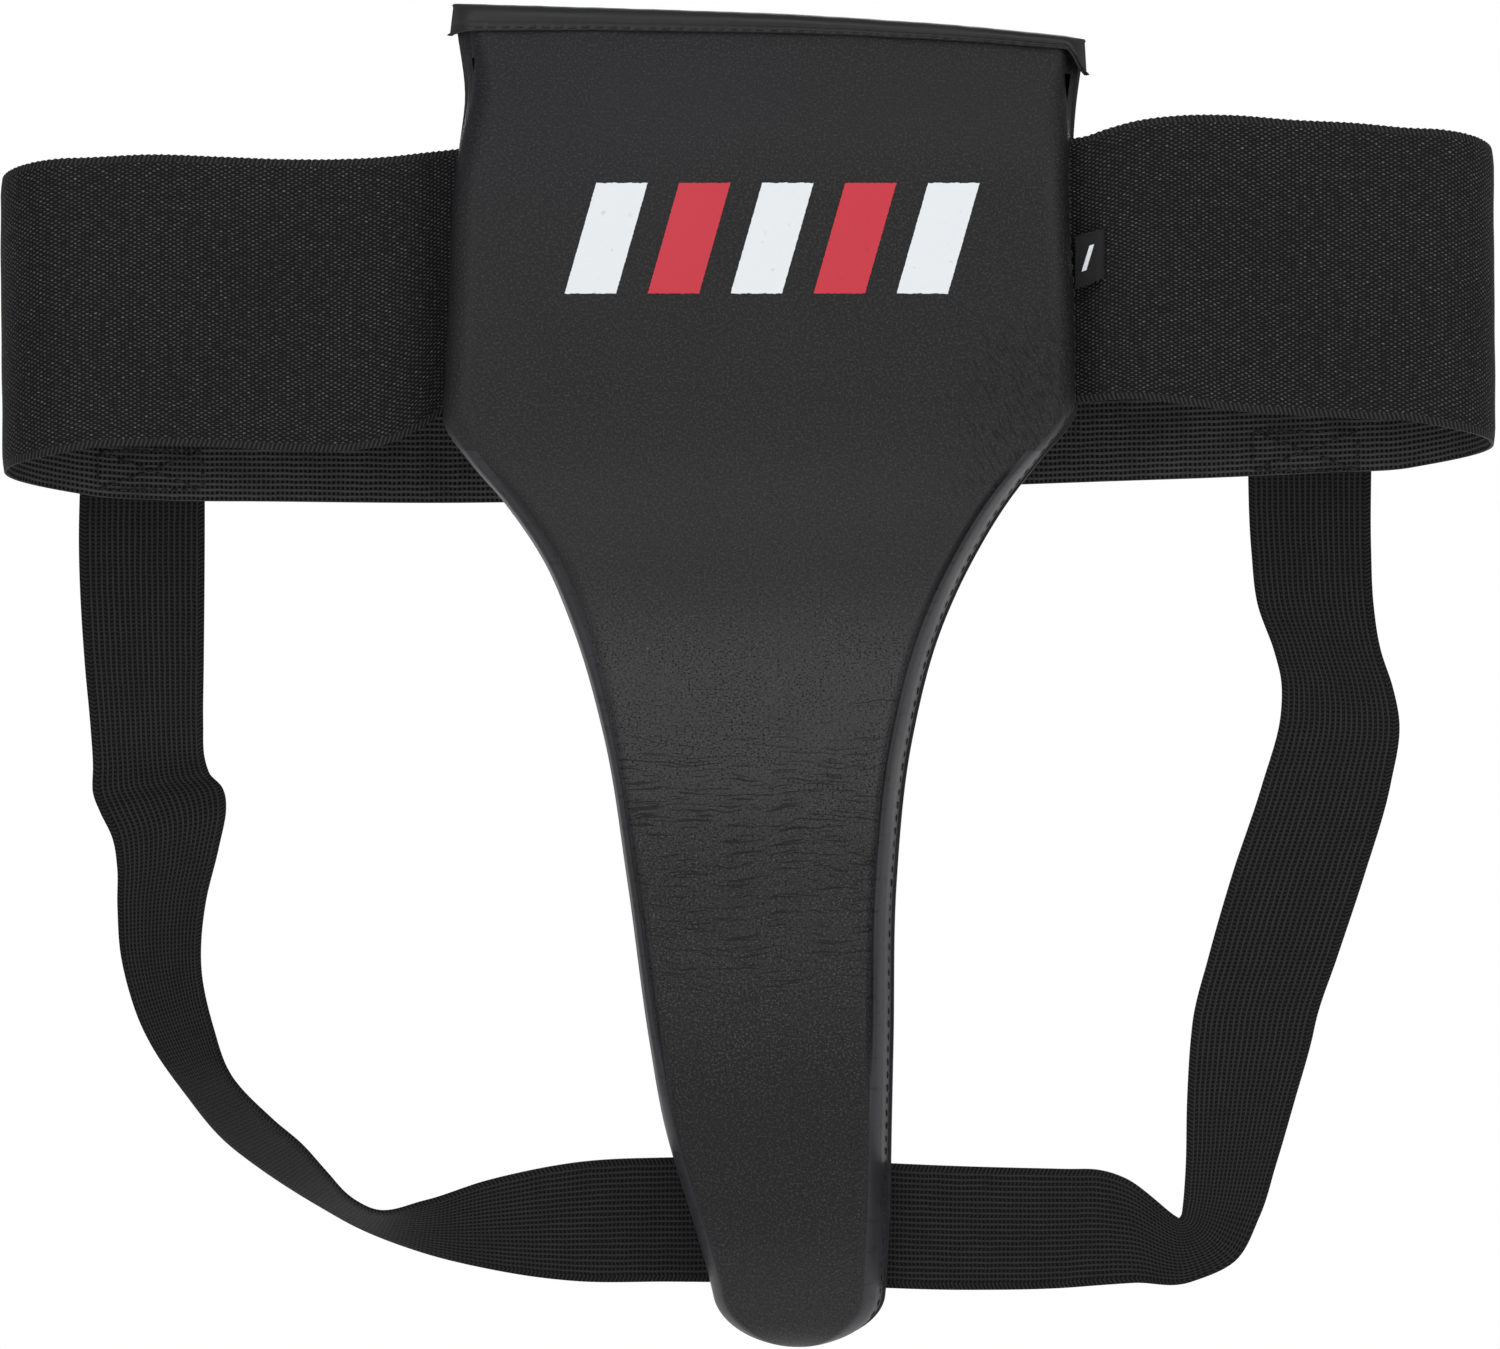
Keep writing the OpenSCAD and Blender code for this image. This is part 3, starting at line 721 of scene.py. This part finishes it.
def section(z, walls=WALL_POINTS, front=104):
    """Cover's outer line at one height, from the left foot to the right foot:
    points, and the distance along the line from the middle of the front."""
    share, depth, back = tip_share(z), pad_depth(z), pad_back(z)
    left, right = outline_x(z, 1), outline_x(z, 2)
    band_gap = smoothstep(-34, -28, z) * smoothstep(46, 40, z)
    foot = 1.35 + 2.3 * band_gap
    face = back - depth
    left_line = corner(LEFT_SEAM, LEFT_ROLL, z, share, depth - foot) * [narrowing(z), 1]
    right_line = corner(RIGHT_SEAM, RIGHT_ROLL, z, share, depth - foot)
    t = np.linspace(0, 1, walls, endpoint=False)
    bulge = 0.45 * share * np.sin(math.pi * t)
    wall_left = np.stack([left + LEFT_FOOT * share * (1 - t) ** 2 + left_line[0, 0] * t - bulge,
                          back - foot + (face + left_line[0, 1] - back + foot) * t], 1)
    corner_left = np.stack([left + left_line[:, 0], face + left_line[:, 1]], 1)
    start, end = face_edges(z)
    s = np.linspace(0, 1, front)[1:-1]
    x = start + (end - start) * s
    middle = np.stack([x, face - share * front_height(s, x, z)], 1)
    corner_right = np.stack([right - right_line[:, 0], face + right_line[:, 1]], 1)[::-1]
    t = np.linspace(0, 1, walls + 1)[1:]
    wall_right = np.stack([right - right_line[0, 0] * (1 - t) - RIGHT_FOOT * share * t,
                           face + right_line[0, 1] + (back - foot - face - right_line[0, 1]) * t], 1)
    line = np.concatenate([wall_left, corner_left, middle, corner_right, wall_right])
    distance = travelled(line)
    if share <= 0.1:
        return line, distance - distance[-1] / 2
    return line, distance - np.interp((left + right) / 2, line[:, 0], distance)


def pad_grid(levels):
    rows, uv = [], []
    for z in levels:
        line, distance = section(z)
        height = z + tilt(z, line[:, 0])
        rows.append(np.stack([line[:, 0], line[:, 1], height], 1))
        uv.append(np.stack([distance, height], 1))
    return np.array(rows), np.array(uv)


def bend_with_tail(piece):
    """Bakes a piece's placement into its mesh."""
    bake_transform(piece)


def sew_on_sides(piece, grid):
    """Gives the faces outside the two side seams, below the waist, the side walls' material."""
    rows, columns = grid.shape[0] - 1, grid.shape[1] - 1
    column = np.arange(columns)
    outside = WALL_POINTS + SEAM_POINTS
    side = (column < outside) | (column >= columns - outside)
    below = grid[:-1, :, 2].mean(axis=1) < WAIST_Z
    faces = np.zeros(len(piece.data.polygons), dtype=np.int32)
    faces[:rows * columns] = (below[:, None] & side[None, :]).ravel()
    piece.data.materials.append(COVER_SIDE_PAINTED_LIGHT)
    piece.data.polygons.foreach_set("material_index", faces)


def make_cover():
    grid, uv = pad_grid(np.concatenate([[TOP_Z + 1.4], pad_levels(1.35)]))
    piece = shell("pad_cover", grid[:, ::-1], uv[:, ::-1], COVER_WALL, [COVER], front=0.0, sharp=60)
    sew_on_sides(piece, grid)
    bend_with_tail(piece)
    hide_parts("front_cover_upper", "front_cover_tail")


def make_impact_foam():
    """Firm foam that fills the cover."""
    rings = []
    for z in pad_levels(4.0, TOP_Z - 6, TIP_Z + 2.6):
        line, _ = section(z, walls=4, front=24)
        centre = line[:, 0].mean()
        scale = 1 - (COVER_WALL + 0.5) * 2 / max(8.0, np.ptp(line[:, 0]))
        x = centre + (line[:, 0] - centre) * scale
        y = np.minimum(line[:, 1] + COVER_WALL + 0.4, pad_back(z) - 7)
        rings.append(np.stack([x, y, z + tilt(z, x)], 1))
    piece = lofted("impact_foam_block", rings, FIRM_FOAM)
    bend_with_tail(piece)
    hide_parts("impact_foam_upper", "impact_foam_tail")


def make_comfort_foam():
    rings = []
    for z in pad_levels(4.0, TOP_Z - 6, TIP_Z + 2.6):
        share = tip_share(z)
        left = outline_x(z, 1) + 12 * share
        right = outline_x(z, 2) - 12 * share
        back = pad_back(z)
        half = 2.6
        turn = np.radians(np.linspace(90, 270, 7))
        x_left = left + half * share * (1 + np.cos(turn))
        x_right = right - half * share * (1 + np.cos(turn))
        y = np.sin(turn) * half + back - 4.1
        ring = np.concatenate([np.stack([x_left, y], 1), np.stack([x_right, y], 1)[::-1]])
        rings.append(np.stack([ring[:, 0], ring[:, 1], z + tilt(z, ring[:, 0])], 1))
    piece = lofted("comfort_foam_layer", rings, SOFT_FOAM)
    bend_with_tail(piece)
    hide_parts("comfort_foam_upper", "comfort_foam_tail")


def lining_edge(z, column):
    """Outline of the lining, whose rim shows past the cover's foot on the right."""
    if column == 1:
        return outline_x(z, 1) - (0.2 + 0.4 * smoothstep(36, 46, z)) * tip_share(z)
    leaf = 0.9 * np.exp(-((z + 30.5) / 4.5) ** 2)
    return outline_x(z, 2) + (1.0 + leaf) * tip_share(z)


def make_lining():
    levels = np.concatenate([[TOP_Z + 3, TOP_Z + 1.5], pad_levels(2.2)])
    rows, uv = [], []
    for z in levels:
        s = np.linspace(0, 1, 60)
        level = min(z, TOP_Z)
        left, right = lining_edge(level, 1), lining_edge(level, 2)
        x = left + (right - left) * s
        puff = 0.9 * np.sin(math.pi * s) ** 0.5 * smoothstep(TOP_Z, TOP_Z - 14, z)
        y = pad_back(z) - 0.6 + puff * tip_share(level) * 0.5 + 0.1 * soft_noise(x, z, 25, 5)
        height = z + tilt(level, x) + LINING_LIFT * math.exp(-(z - TIP_Z) / 4)
        rows.append(np.stack([x, y, height], 1))
        uv.append(np.stack([x, height], 1))
    grid, uv = np.array(rows)[:, ::-1], np.array(uv)[:, ::-1]
    piece = shell("pad_back_lining", grid, uv, 1.0, [LINING, LINING], sharp=60)
    bend_with_tail(piece)
    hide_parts("back_lining_upper", "back_lining_tail")


def seam_run(index, normal):
    """Line through one point of the section, low on a side wall, with its outward direction."""
    points = []
    for z in pad_levels(2.0, TOP_Z - 26, TIP_Z + 5):
        x, y = section(z)[0][index]
        points.append([x, y, z + tilt(z, x)])
    return points, np.tile(normal, (len(points), 1))


def make_seam_stitches():
    runs = [seam_run(1, (-1, 0.3, 0)), seam_run(-4, (1, -0.4, 0))]
    piece = stitches("side_seam_stitches", runs, 3.3, 2.2, 0.24, skew=0.25)
    bend_with_tail(piece)
    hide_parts("side_seam_thread_upper", "side_seam_thread_tail")


# ---- Top binding ----


BINDING_FRONT = BACK_Y - 8.8
BINDING_BACK = BACK_Y + 0.7
# Outside of the folded strip from the front lip over the top to the back lip: how far
# behind its front, as a share of its depth, and the share of its height
BINDING_FOLD = [
    (0.08, -0.03), (0.02, -0.07), (-0.02, -0.02), (-0.015, 0.08), (0.015, 0.17), (0.022, 0.24),
    (0.0, 0.33), (0.0, 0.48), (0.03, 0.64), (0.10, 0.80), (0.22, 0.92), (0.42, 1.0), (0.66, 0.99), (0.86, 0.90),
    (0.97, 0.74), (1.0, 0.5), (0.99, 0.25), (1.0, 0.05), (0.97, -0.06), (0.92, -0.02),
]
STITCH_HEIGHT = 0.22


def binding_row(t):
    """Outside of the binding at share t of its length, as points along the fold."""
    start, end = BINDING_EDGES[0, 0], BINDING_EDGES[-1, 0]
    x = start + (end - start) * t
    low = seam_height(x)
    high = np.interp(x, BINDING_EDGES[:, 0], BINDING_EDGES[:, 2])
    low -= 1.0 * math.exp(-t * 90) + 5.2 * smoothstep(0.970, 1.0, t)
    fold = catmull([(y, h, 0) for y, h in BINDING_FOLD], 1, each=3)
    ripple = 0.22 * math.sin(t * 61) + 0.16 * math.sin(t * 143 + 1)
    fold[:, 0] += 0.012 * ripple * np.exp(-((fold[:, 1] - 0.3) / 0.3) ** 2)
    pinch = math.exp(-t * 110) + math.exp(-(1 - t) * 95)
    depth = BINDING_BACK - BINDING_FRONT
    y = BINDING_FRONT + depth * (fold[:, 0] * (1 - 0.84 * pinch) + 0.72 * pinch)
    y -= 0.5 * CROWN * (1 - (2 * t - 1) ** 2) * (1 - fold[:, 0])
    height = low + (high - low) * fold[:, 1] + 0.12 * ripple
    lean = (0.5 * math.exp(-(1 - t) * 70) - 0.9 * math.exp(-t * 80)) * (1 - fold[:, 1])
    return np.stack([x + lean, y, height], 1)


def make_binding():
    grid = np.array([binding_row(t) for t in np.linspace(0, 1, 150)])
    way = np.array([travelled(row) for row in grid])
    uv = np.stack([grid[:, :, 0], way], 2)
    piece = shell("top_binding_strip", grid[:, ::-1], uv[:, ::-1], 0.7, [BINDING, BINDING],
                  front=0.0, sharp=60)
    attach(piece, "root")
    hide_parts("top_binding")


def make_binding_stitches():
    """One row of thread in the dent near the lower edge of the binding's front."""
    row = []
    for t in np.linspace(0.012, 0.985, 150):
        line = binding_row(t)[:24]
        share = (line[:, 2] - line[:, 2].min()) / np.ptp(line[:, 2])
        row.append([np.interp(STITCH_HEIGHT, share[3:], line[3:, k]) for k in range(3)])
    make_thread("binding_stitches", "root", "binding_thread",
                [(row, np.tile([0, -1, 0.1], (len(row), 1)))], 3.4, 2.3, 0.24, skew=0.12)


# ---- Emblem ----


EMBLEM_X = 5.6
EMBLEM_Z = 16.5
EMBLEM_HEIGHT = 28.0
BAR_WIDTH = 13.0
BAR_PITCH = 21.0
BAR_SLANT = 8.0
BARS = 5


def front_y(x, z):
    """Depth of the cover's front at a point of the flat area of the pad."""
    start, end = face_edges(z)
    return pad_back(z) - pad_depth(z) - front_height((x - start) / (end - start), x, z)


def make_bars(name, first, material, cad_node):
    """Slanted printed bars that lie on the cover, with slightly ragged edges."""
    points, faces = [], []
    rows, columns = 72, 36
    h = np.linspace(-0.5, 0.5, rows)[:, None]
    w = np.linspace(-0.5, 0.5, columns)[None, :]
    for bar in range(first, BARS, 2):
        centre = EMBLEM_X + (bar - (BARS - 1) / 2) * BAR_PITCH
        ragged = 0.16 * soft_noise(h * 90 + bar * 7, w * 3, 2.6, 21 + bar)
        ends = 0.12 * soft_noise(w * 60, h * 2 + bar, 2.3, 31) * np.abs(h) * 2
        x, z = np.broadcast_arrays(centre + h * BAR_SLANT + w * (BAR_WIDTH + ragged),
                                   EMBLEM_Z + h * EMBLEM_HEIGHT + ends)
        y = front_y(x, z)
        faces.append(np.concatenate(closed_faces(rows, columns)) + len(points) * rows * columns)
        points += [np.stack([x, y - out, z], 2).reshape(-1, 3) for out in (0.16, 0.02)]
    points = np.concatenate(points)
    piece = make_piece(name, points, np.concatenate(faces), points[:, [0, 2]], [material])
    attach(piece, "root")
    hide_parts(cad_node)


# ---- Elastic webbing ----


def webbing(name, stations, width, thickness, materials, spacing, columns, wave=None, teeth=0.0):
    """Strip of elastic through stations, each the low (or outer) and the high (or inner)
    edge point. wave(across, along) moves the surface along its normal, and teeth is the
    depth of the high edge's small bites, in millimetres. Gives the piece and its length."""
    stations = np.asarray(stations, float).reshape(len(stations), 6)
    track = catmull(stations, spacing)
    low, high = track[:, :3], track[:, 3:]
    along = travelled((low + high) / 2)
    share = np.linspace(0, 1, columns)
    share = share - 0.012 * np.sin(share * math.tau)
    grid = low[:, None] + (high - low)[:, None] * share[None, :, None]
    if teeth:
        direction = (high - low) / np.linalg.norm(high - low, axis=1, keepdims=True)
        bite = teeth * (0.5 + 0.5 * np.cos(along * math.tau / TOOTH_PITCH))
        grid[:, -1] -= direction * bite[:, None]
        grid[:, -2] -= direction * bite[:, None] * 0.3
    uv = np.stack(np.broadcast_arrays(share[None, :] * width, along[:, None]), 2)
    if wave is not None:
        height = wave(share[None, :] * width, along[:, None])
        grid = grid + grid_normals(grid) * height[:, :, None]
    piece = shell(name, grid, uv, thickness, materials, edge=(0.45, 0.8), sharp=65)
    return piece, along[-1]


def turn_stations(side, before, after):
    """Stations round the turn at one end of the flattened band, between the rows
    x, y, low height and high height before and after it."""
    out = []
    for angle in range(15, 180, 15):
        turn = math.radians(angle)
        share = (1 - math.cos(turn)) / 2
        even = angle / 180
        x = before[0] + side * FOLD_RADIUS * math.sin(turn)
        y = (FRONT_Y + REAR_Y) / 2 - FOLD_RADIUS * math.cos(turn)
        low = before[2] * (1 - even) + after[2] * even
        high = before[3] * (1 - share) + after[3] * share
        out.append((x, y, low, high))
    return out


def upright(rows):
    """Stations from rows of x, y, low height and high height."""
    return [(x, y, low, x, y, high) for x, y, low, high in rows]


def band_wave(across, along):
    """Soft unevenness of elastic that lies slack."""
    return 0.28 * soft_noise(along, across * 0.5, 58, 14) + 0.1 * soft_noise(along, across, 17, 15)


# Rows of the band on each side: its front from the seam to the turn, and its rear from the
# turn to the middle
LEFT_FRONT = [
    (-66.5, SEAM_Y, -26, 40.4), (-72, SEAM_Y - 0.1, -26.2, 40.1), (-78, -19.3, -27.6, 39.4),
    (-84, -20.6, -31.6, 38.7), (-92, -21.2, -35.2, 37.8), (-104, -21.0, -37.2, 37.2),
    (-118, -20.6, -37.0, 37.2), (-134, -20.5, -36.2, 37.8), (-152, -20.5, -35.9, 38.4),
    (FOLD_LEFT_X, FRONT_Y, -36.6, 37.6),
]
LEFT_REAR = [
    (FOLD_LEFT_X, REAR_Y, -48.0, 27.0), (-150, REAR_Y, -49.2, 26.7), (-124, REAR_Y, -49.5, 26.7),
    (-70, REAR_Y, -49.8, 26.4), (0, REAR_Y, -47.6, 28.6),
]
RIGHT_FRONT = [
    (72.5, SEAM_Y, -25, 42), (79, SEAM_Y - 0.1, -24.8, 42.4), (85, -19.4, -24.6, 43),
    (91, -20.7, -24.2, 45.0), (98, -21.2, -24.0, 46.9), (108, -21.0, -25.0, 48.2),
    (122, -20.6, -26.8, 48.4), (138, -20.5, -28.0, 47.2), (154, -20.5, -28.9, 46.4),
    (FOLD_RIGHT_X, FRONT_Y, -29.6, 45.1),
]
RIGHT_REAR = [
    (FOLD_RIGHT_X, REAR_Y, -41.0, 34.4), (150, REAR_Y, -42.0, 34.0), (124, REAR_Y, -43.2, 33.0),
    (90, REAR_Y, -44.4, 31.8), (0, REAR_Y, -47.6, 28.6),
]


def make_waistband(name, side, front, rear, materials, *cad_nodes):
    """One side of the waistband; side is -1 on the left and 1 on the right."""
    rows = front + turn_stations(side, front[-1], rear[0]) + rear
    piece, length = webbing(name, upright(rows), BAND_WIDTH, BAND_THICKNESS, materials,
                            0.62, 34, band_wave, teeth=0.35)
    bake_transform(piece)
    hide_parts(*cad_nodes)


def on_tail(x, z):
    return [x, pad_back(z) + STRAP_THICKNESS / 2 + 0.2, z]


def spread(stations):
    """The straps hang a little wider than the band is deep."""
    stations = np.array(stations, float)
    for column in (0, 3):
        stations[:, column] *= 1.0105
        stations[:, column + 2] = VIEW_Z + (stations[:, column + 2] - VIEW_Z) * 1.005
    return stations


LEFT_STRAP = [
    [-170, STRAP_Y, -35, -138.6, STRAP_Y, -35], [-170.6, STRAP_Y, -62, -138.6, STRAP_Y, -62],
    [-169, 22, -92, -138.8, 22, -92], [-167.6, 21.5, -107, -138.9, 20.5, -106],
    [-167, 22.2, -117, -138.6, 22, -115], [-167.1, 24.4, -124, -137.2, 23.8, -119.5],
    [-165, 22.5, -129.5, -133.8, 20, -123.2], [-162.2, 20.2, -135, -133.0, 17, -128],
    [-160.7, 19.8, -143, -134.9, 15, -138.5], [-160.6, 20, -153, -137.9, 13, -151],
    [-159.4, 19, -167, -139.2, 9, -165], [-155, 18, -182, -137.8, 5.5, -176.5],
    [-151.8, 18, -188.5, -135.8, 4, -184], [-143.4, 18, -200.6, -131.3, -2, -195.6],
    [-133, 18, -213, -120.5, -7, -206.9], [-124.3, 18, -219.8, -113.2, -8.2, -213.1],
    [-115, 18, -226, -106.9, -9, -220.1], [-107.6, 17.6, -230.4, -101.4, -8.7, -226.1],
    [-100, 17, -234.6, -95, -8, -229.7], [-84, 14, -240.8, -82, -4, -227.6],
    [-65, 9, -245.4, -66, -1, -222.4], [-44, 5, -248.2, -44, 0.5, -217.9],
    on_tail(-20, -248.3) + on_tail(-20, -216.6), on_tail(10.7, -248.6) + on_tail(10.7, -216.9),
]
RIGHT_STRAP = [
    [158, STRAP_Y, -35, 126.4, STRAP_Y, -35], [157.9, STRAP_Y, -62, 127.4, STRAP_Y, -62],
    [158.5, 22.5, -76, 129.0, 22.5, -76], [160.4, 22, -88, 133.2, 22, -88],
    [163.3, 21.5, -97, 135.0, 21, -96], [164.9, 21, -105, 134.8, 20, -104],
    [162.7, 20, -122, 130, 18, -122], [156, 18, -145, 122.3, 15, -145],
    [149, 16, -166, 116.2, 12, -166], [143.6, 15, -182, 112.2, 9, -182],
    [142.6, 14.5, -186.5, 111.7, 8.5, -186.5], [138.2, 13, -202, 110.7, 6, -202],
    [133.2, 12, -219, 110.3, 3, -219], [129, 10, -232, 109.6, 2, -228.5],
    [123, 8, -243, 109, 2, -231.6], [112, 6, -248.3, 107.5, 1.5, -231.6],
    [97, 5.5, -248.7, 94.8, 2, -221.9], [88, 5.2, -249.3, 88, 1.8, -219.8],
    [80, 5, -249.9, 80, 1.5, -219.6],
    on_tail(55, -250.4) + on_tail(55, -218.9), on_tail(11.3, -248.9) + on_tail(11.3, -216.9),
]


def make_leg_strap(side, stations):
    piece, length = webbing(f"{side}_leg_strap", spread(stations), STRAP_WIDTH, STRAP_THICKNESS,
                            [LADDER, LADDER], 0.8, 22)
    bend_with_tail(piece)
    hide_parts(f"{side}_leg_strap_upper", f"{side}_leg_strap_lower")


# ---- Sewing of the elastic ----


def box_runs(centre, width, height, normal, lean=0.0):
    """Lines of a box with a cross in it, in the XZ plane leaned back by lean."""
    half_w, half_h = width / 2, height / 2
    corners = [(-half_w, -half_h), (half_w, -half_h), (half_w, half_h), (-half_w, half_h)]
    runs = []
    for first, last in ((0, 1), (1, 2), (2, 3), (3, 0), (0, 2), (1, 3)):
        t = np.linspace(0, 1, 20)[:, None]
        flat = np.array(corners[first]) * (1 - t) + np.array(corners[last]) * t
        points = np.stack([centre[0] + flat[:, 0], centre[1] - flat[:, 1] * lean,
                           centre[2] + flat[:, 1]], 1)
        runs.append((points, np.tile(normal, (len(points), 1))))
    return runs


def make_box_stitches():
    inner_y = REAR_Y - BAND_THICKNESS / 2 - 0.05
    outer_y = STRAP_Y + STRAP_THICKNESS / 2 + 0.05
    for side, x, z in (("left", -154, -41.5), ("right", 142.5, -36.5)):
        runs = (box_runs((x, inner_y, z), 27, 10, (0, -1, 0))
                + box_runs((x, outer_y, z), 27, 10, (0, 1, 0)))
        make_thread(f"{side}_strap_stitches", "root", f"{side}_strap_box_stitch", runs, *BOX_STITCH)
    low, high = on_tail(11, -248.6), on_tail(11, -216.9)
    centre = [(a + b) / 2 for a, b in zip(low, high)]
    lean = (low[1] - high[1]) / (high[2] - low[2])
    centre[1] += STRAP_THICKNESS / 2 + 0.1
    make_thread("tail_strap_stitches", "tail", "tail_strap_box_stitch",
                box_runs(centre, 34, 24, (0, 1, 0.15), lean), *BOX_STITCH)


def make_band_stitches():
    """Row that holds each sewn end of the waistband, behind the pad's edge."""
    z = np.linspace(-20, 36, 60)
    for side, x in (("left", -71.7), ("right", 77.3)):
        y = SEAM_Y + BAND_THICKNESS / 2 + 0.05
        line = np.stack([np.full(len(z), x), np.full(len(z), y), z], 1)
        make_thread(f"band_{side}_stitches", "root", f"band_thread_{side}",
                    [(line, np.tile([0, 1, 0], (len(z), 1)))], 2.4, 1.8, 0.26, skew=0.4)


# ---- Size tag ----


TAG_X = 83.2
TAG_Y = -22.0
TAG_Z = 4.0
TAG_HEIGHT = 15.0
TAG_WIDTH = TAG_HEIGHT * 0.91
TAG_LENGTH = 6.8


def make_tag():
    """Folded woven ribbon that stands out of the side seam, with a plain white mark."""
    rows, uv = [], []
    path = [(-0.6, -0.55), (TAG_LENGTH * 0.5, -0.62), (TAG_LENGTH - 0.8, -0.55), (TAG_LENGTH, 0),
            (TAG_LENGTH - 0.8, 0.55), (TAG_LENGTH * 0.5, 0.62), (-0.6, 0.55)]
    line = catmull([(x, y, 0) for x, y in path], 0.35)
    way = travelled(line)
    for t in np.linspace(0, 1, 40):
        frayed = 0.3 * np.sin(way * 5.1) * math.exp(-t * 14)
        rise = line[:, 0] * (0.40 - 0.14 * t)
        z = TAG_Z + TAG_WIDTH * t + rise + frayed
        rows.append(np.stack([TAG_X + line[:, 0], TAG_Y + line[:, 1], z], 1))
        uv.append(np.stack([way, np.full(len(way), TAG_HEIGHT * t)], 1))
    piece = shell("size_tag_ribbon", np.array(rows), np.array(uv), 0.35, [TAG, TAG])
    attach(piece, "tag")
    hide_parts("size_tag")
    t = np.linspace(0, 1, 8)[:, None]
    width = np.linspace(-0.6, 0.6, 5)[None, :]
    bar = np.stack(np.broadcast_arrays(TAG_X + 1.6 + 2.0 * t + width, TAG_Y - 0.86,
                                       TAG_Z + 4.6 + 6.6 * t + 0.3 * width), 2)
    mark = shell("size_tag_mark", bar, bar[:, :, [0, 2]], 0.12, [INK_WHITE])
    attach(mark, "tag")


# ---- Camera, light and floor ----


def make_camera():
    data = bpy.data.cameras.new("camera")
    data.sensor_width = 36
    data.lens = data.sensor_width * VIEW_DISTANCE / (PHOTO_WIDTH * MM)
    data.clip_end = 60
    camera = add_object("camera", data)
    camera.location = (0, -VIEW_DISTANCE - 0.022, VIEW_Z * MM)
    camera.rotation_euler = (math.radians(90), 0, 0)
    bpy.context.scene.camera = camera


def area_light(name, place, size, energy):
    """Softbox at a place, turned towards the object; size in metres and energy in watts."""
    data = bpy.data.lights.new(name, "AREA")
    data.shape = "RECTANGLE"
    data.size, data.size_y = size
    data.energy = energy
    light = add_object(name, data)
    light.visible_camera = False
    light.location = place
    direction = np.array(LIGHT_TARGET) - np.array(place)
    light.rotation_euler = (math.atan2(np.hypot(direction[0], direction[1]), -direction[2]), 0,
                            math.atan2(direction[1], direction[0]) - math.pi / 2)


def make_studio():
    world = bpy.data.worlds.new("studio")
    bpy.context.scene.world = world
    world.use_nodes = True
    tree = world.node_tree
    tree.nodes.clear()
    path = make_node(tree, "ShaderNodeLightPath")
    dim = make_node(tree, "ShaderNodeBackground",
                    {"Color": (0.95, 0.97, 1.0, 1.0), "Strength": 0.30})
    white = make_node(tree, "ShaderNodeBackground", {"Color": (1, 1, 1, 1), "Strength": 1.0})
    mix = make_node(tree, "ShaderNodeMixShader", {0: path.outputs["Is Camera Ray"],
                                                  1: dim.outputs[0], 2: white.outputs[0]})
    make_node(tree, "ShaderNodeOutputWorld", {0: mix.outputs[0]})
    area_light("softbox_left", (-1.1, -2.2, 0.6), (0.9, 1.2), 15)
    area_light("softbox_right", (1.7, -1.5, 0.5), (0.9, 1.2), 13.5)
    area_light("softbox_top", (0.2, -1.3, 1.6), (1.8, 0.9), 13)
    area_light("softbox_back", (0, 2.4, 0.6), (1.6, 1.2), 24)
    bpy.context.scene.view_settings.view_transform = "Standard"


def make_floor():
    """Round floor that turns into the white backdrop away from the object."""
    mesh = bpy.data.meshes.new("floor")
    turns = np.linspace(0, math.tau, FLOOR_SIDES, endpoint=False)
    mesh.from_pydata([(FLOOR_RADIUS * math.cos(t), FLOOR_RADIUS * math.sin(t), FLOOR_Z)
                      for t in turns], [], [range(FLOOR_SIDES)])
    material = bpy.data.materials.new("floor")
    material.use_nodes = True
    tree = material.node_tree
    shader = tree.nodes["Principled BSDF"]
    for name, value in (("Base Color", (0.90, 0.90, 0.91, 1)), ("Roughness", 0.8),
                        ("Emission Color", (1, 1, 1, 1)), ("Emission Strength", 0.25)):
        shader.inputs[name].default_value = value
    place = make_node(tree, "ShaderNodeTexCoord")
    away = make_node(tree, "ShaderNodeVectorMath", {0: place.outputs["Object"]}, operation="LENGTH")
    share = Value(tree, away.outputs["Value"]).ramp(0.5, 1.9)
    backdrop = make_node(tree, "ShaderNodeEmission")
    mix = make_node(tree, "ShaderNodeMixShader", {0: share, 1: shader.outputs[0],
                                                  2: backdrop.outputs[0]})
    feed(tree, tree.nodes["Material Output"].inputs["Surface"], mix.outputs[0])
    mesh.materials.append(material)
    add_object("floor", mesh)


make_camera()
make_studio()
make_floor()
make_cover()
make_impact_foam()
make_comfort_foam()
make_lining()
make_seam_stitches()
make_binding()
make_binding_stitches()
make_bars("emblem_white", 0, INK_WHITE, "emblem_white_bars")
make_bars("emblem_red", 1, INK_RED, "emblem_red_bars")
make_waistband("waistband_left", -1, LEFT_FRONT, LEFT_REAR, [WAIST_OUTER, WAIST_INNER],
               "waistband_front_left", "waistband_fold_left", "waistband_rear_left",
               "waistband_rear_center")
make_waistband("waistband_right", 1, RIGHT_FRONT, RIGHT_REAR, [WAIST_INNER, WAIST_OUTER],
               "waistband_front_right", "waistband_fold_right", "waistband_rear_right")
make_leg_strap("left", LEFT_STRAP)
make_leg_strap("right", RIGHT_STRAP)
make_box_stitches()
make_band_stitches()
make_tag()
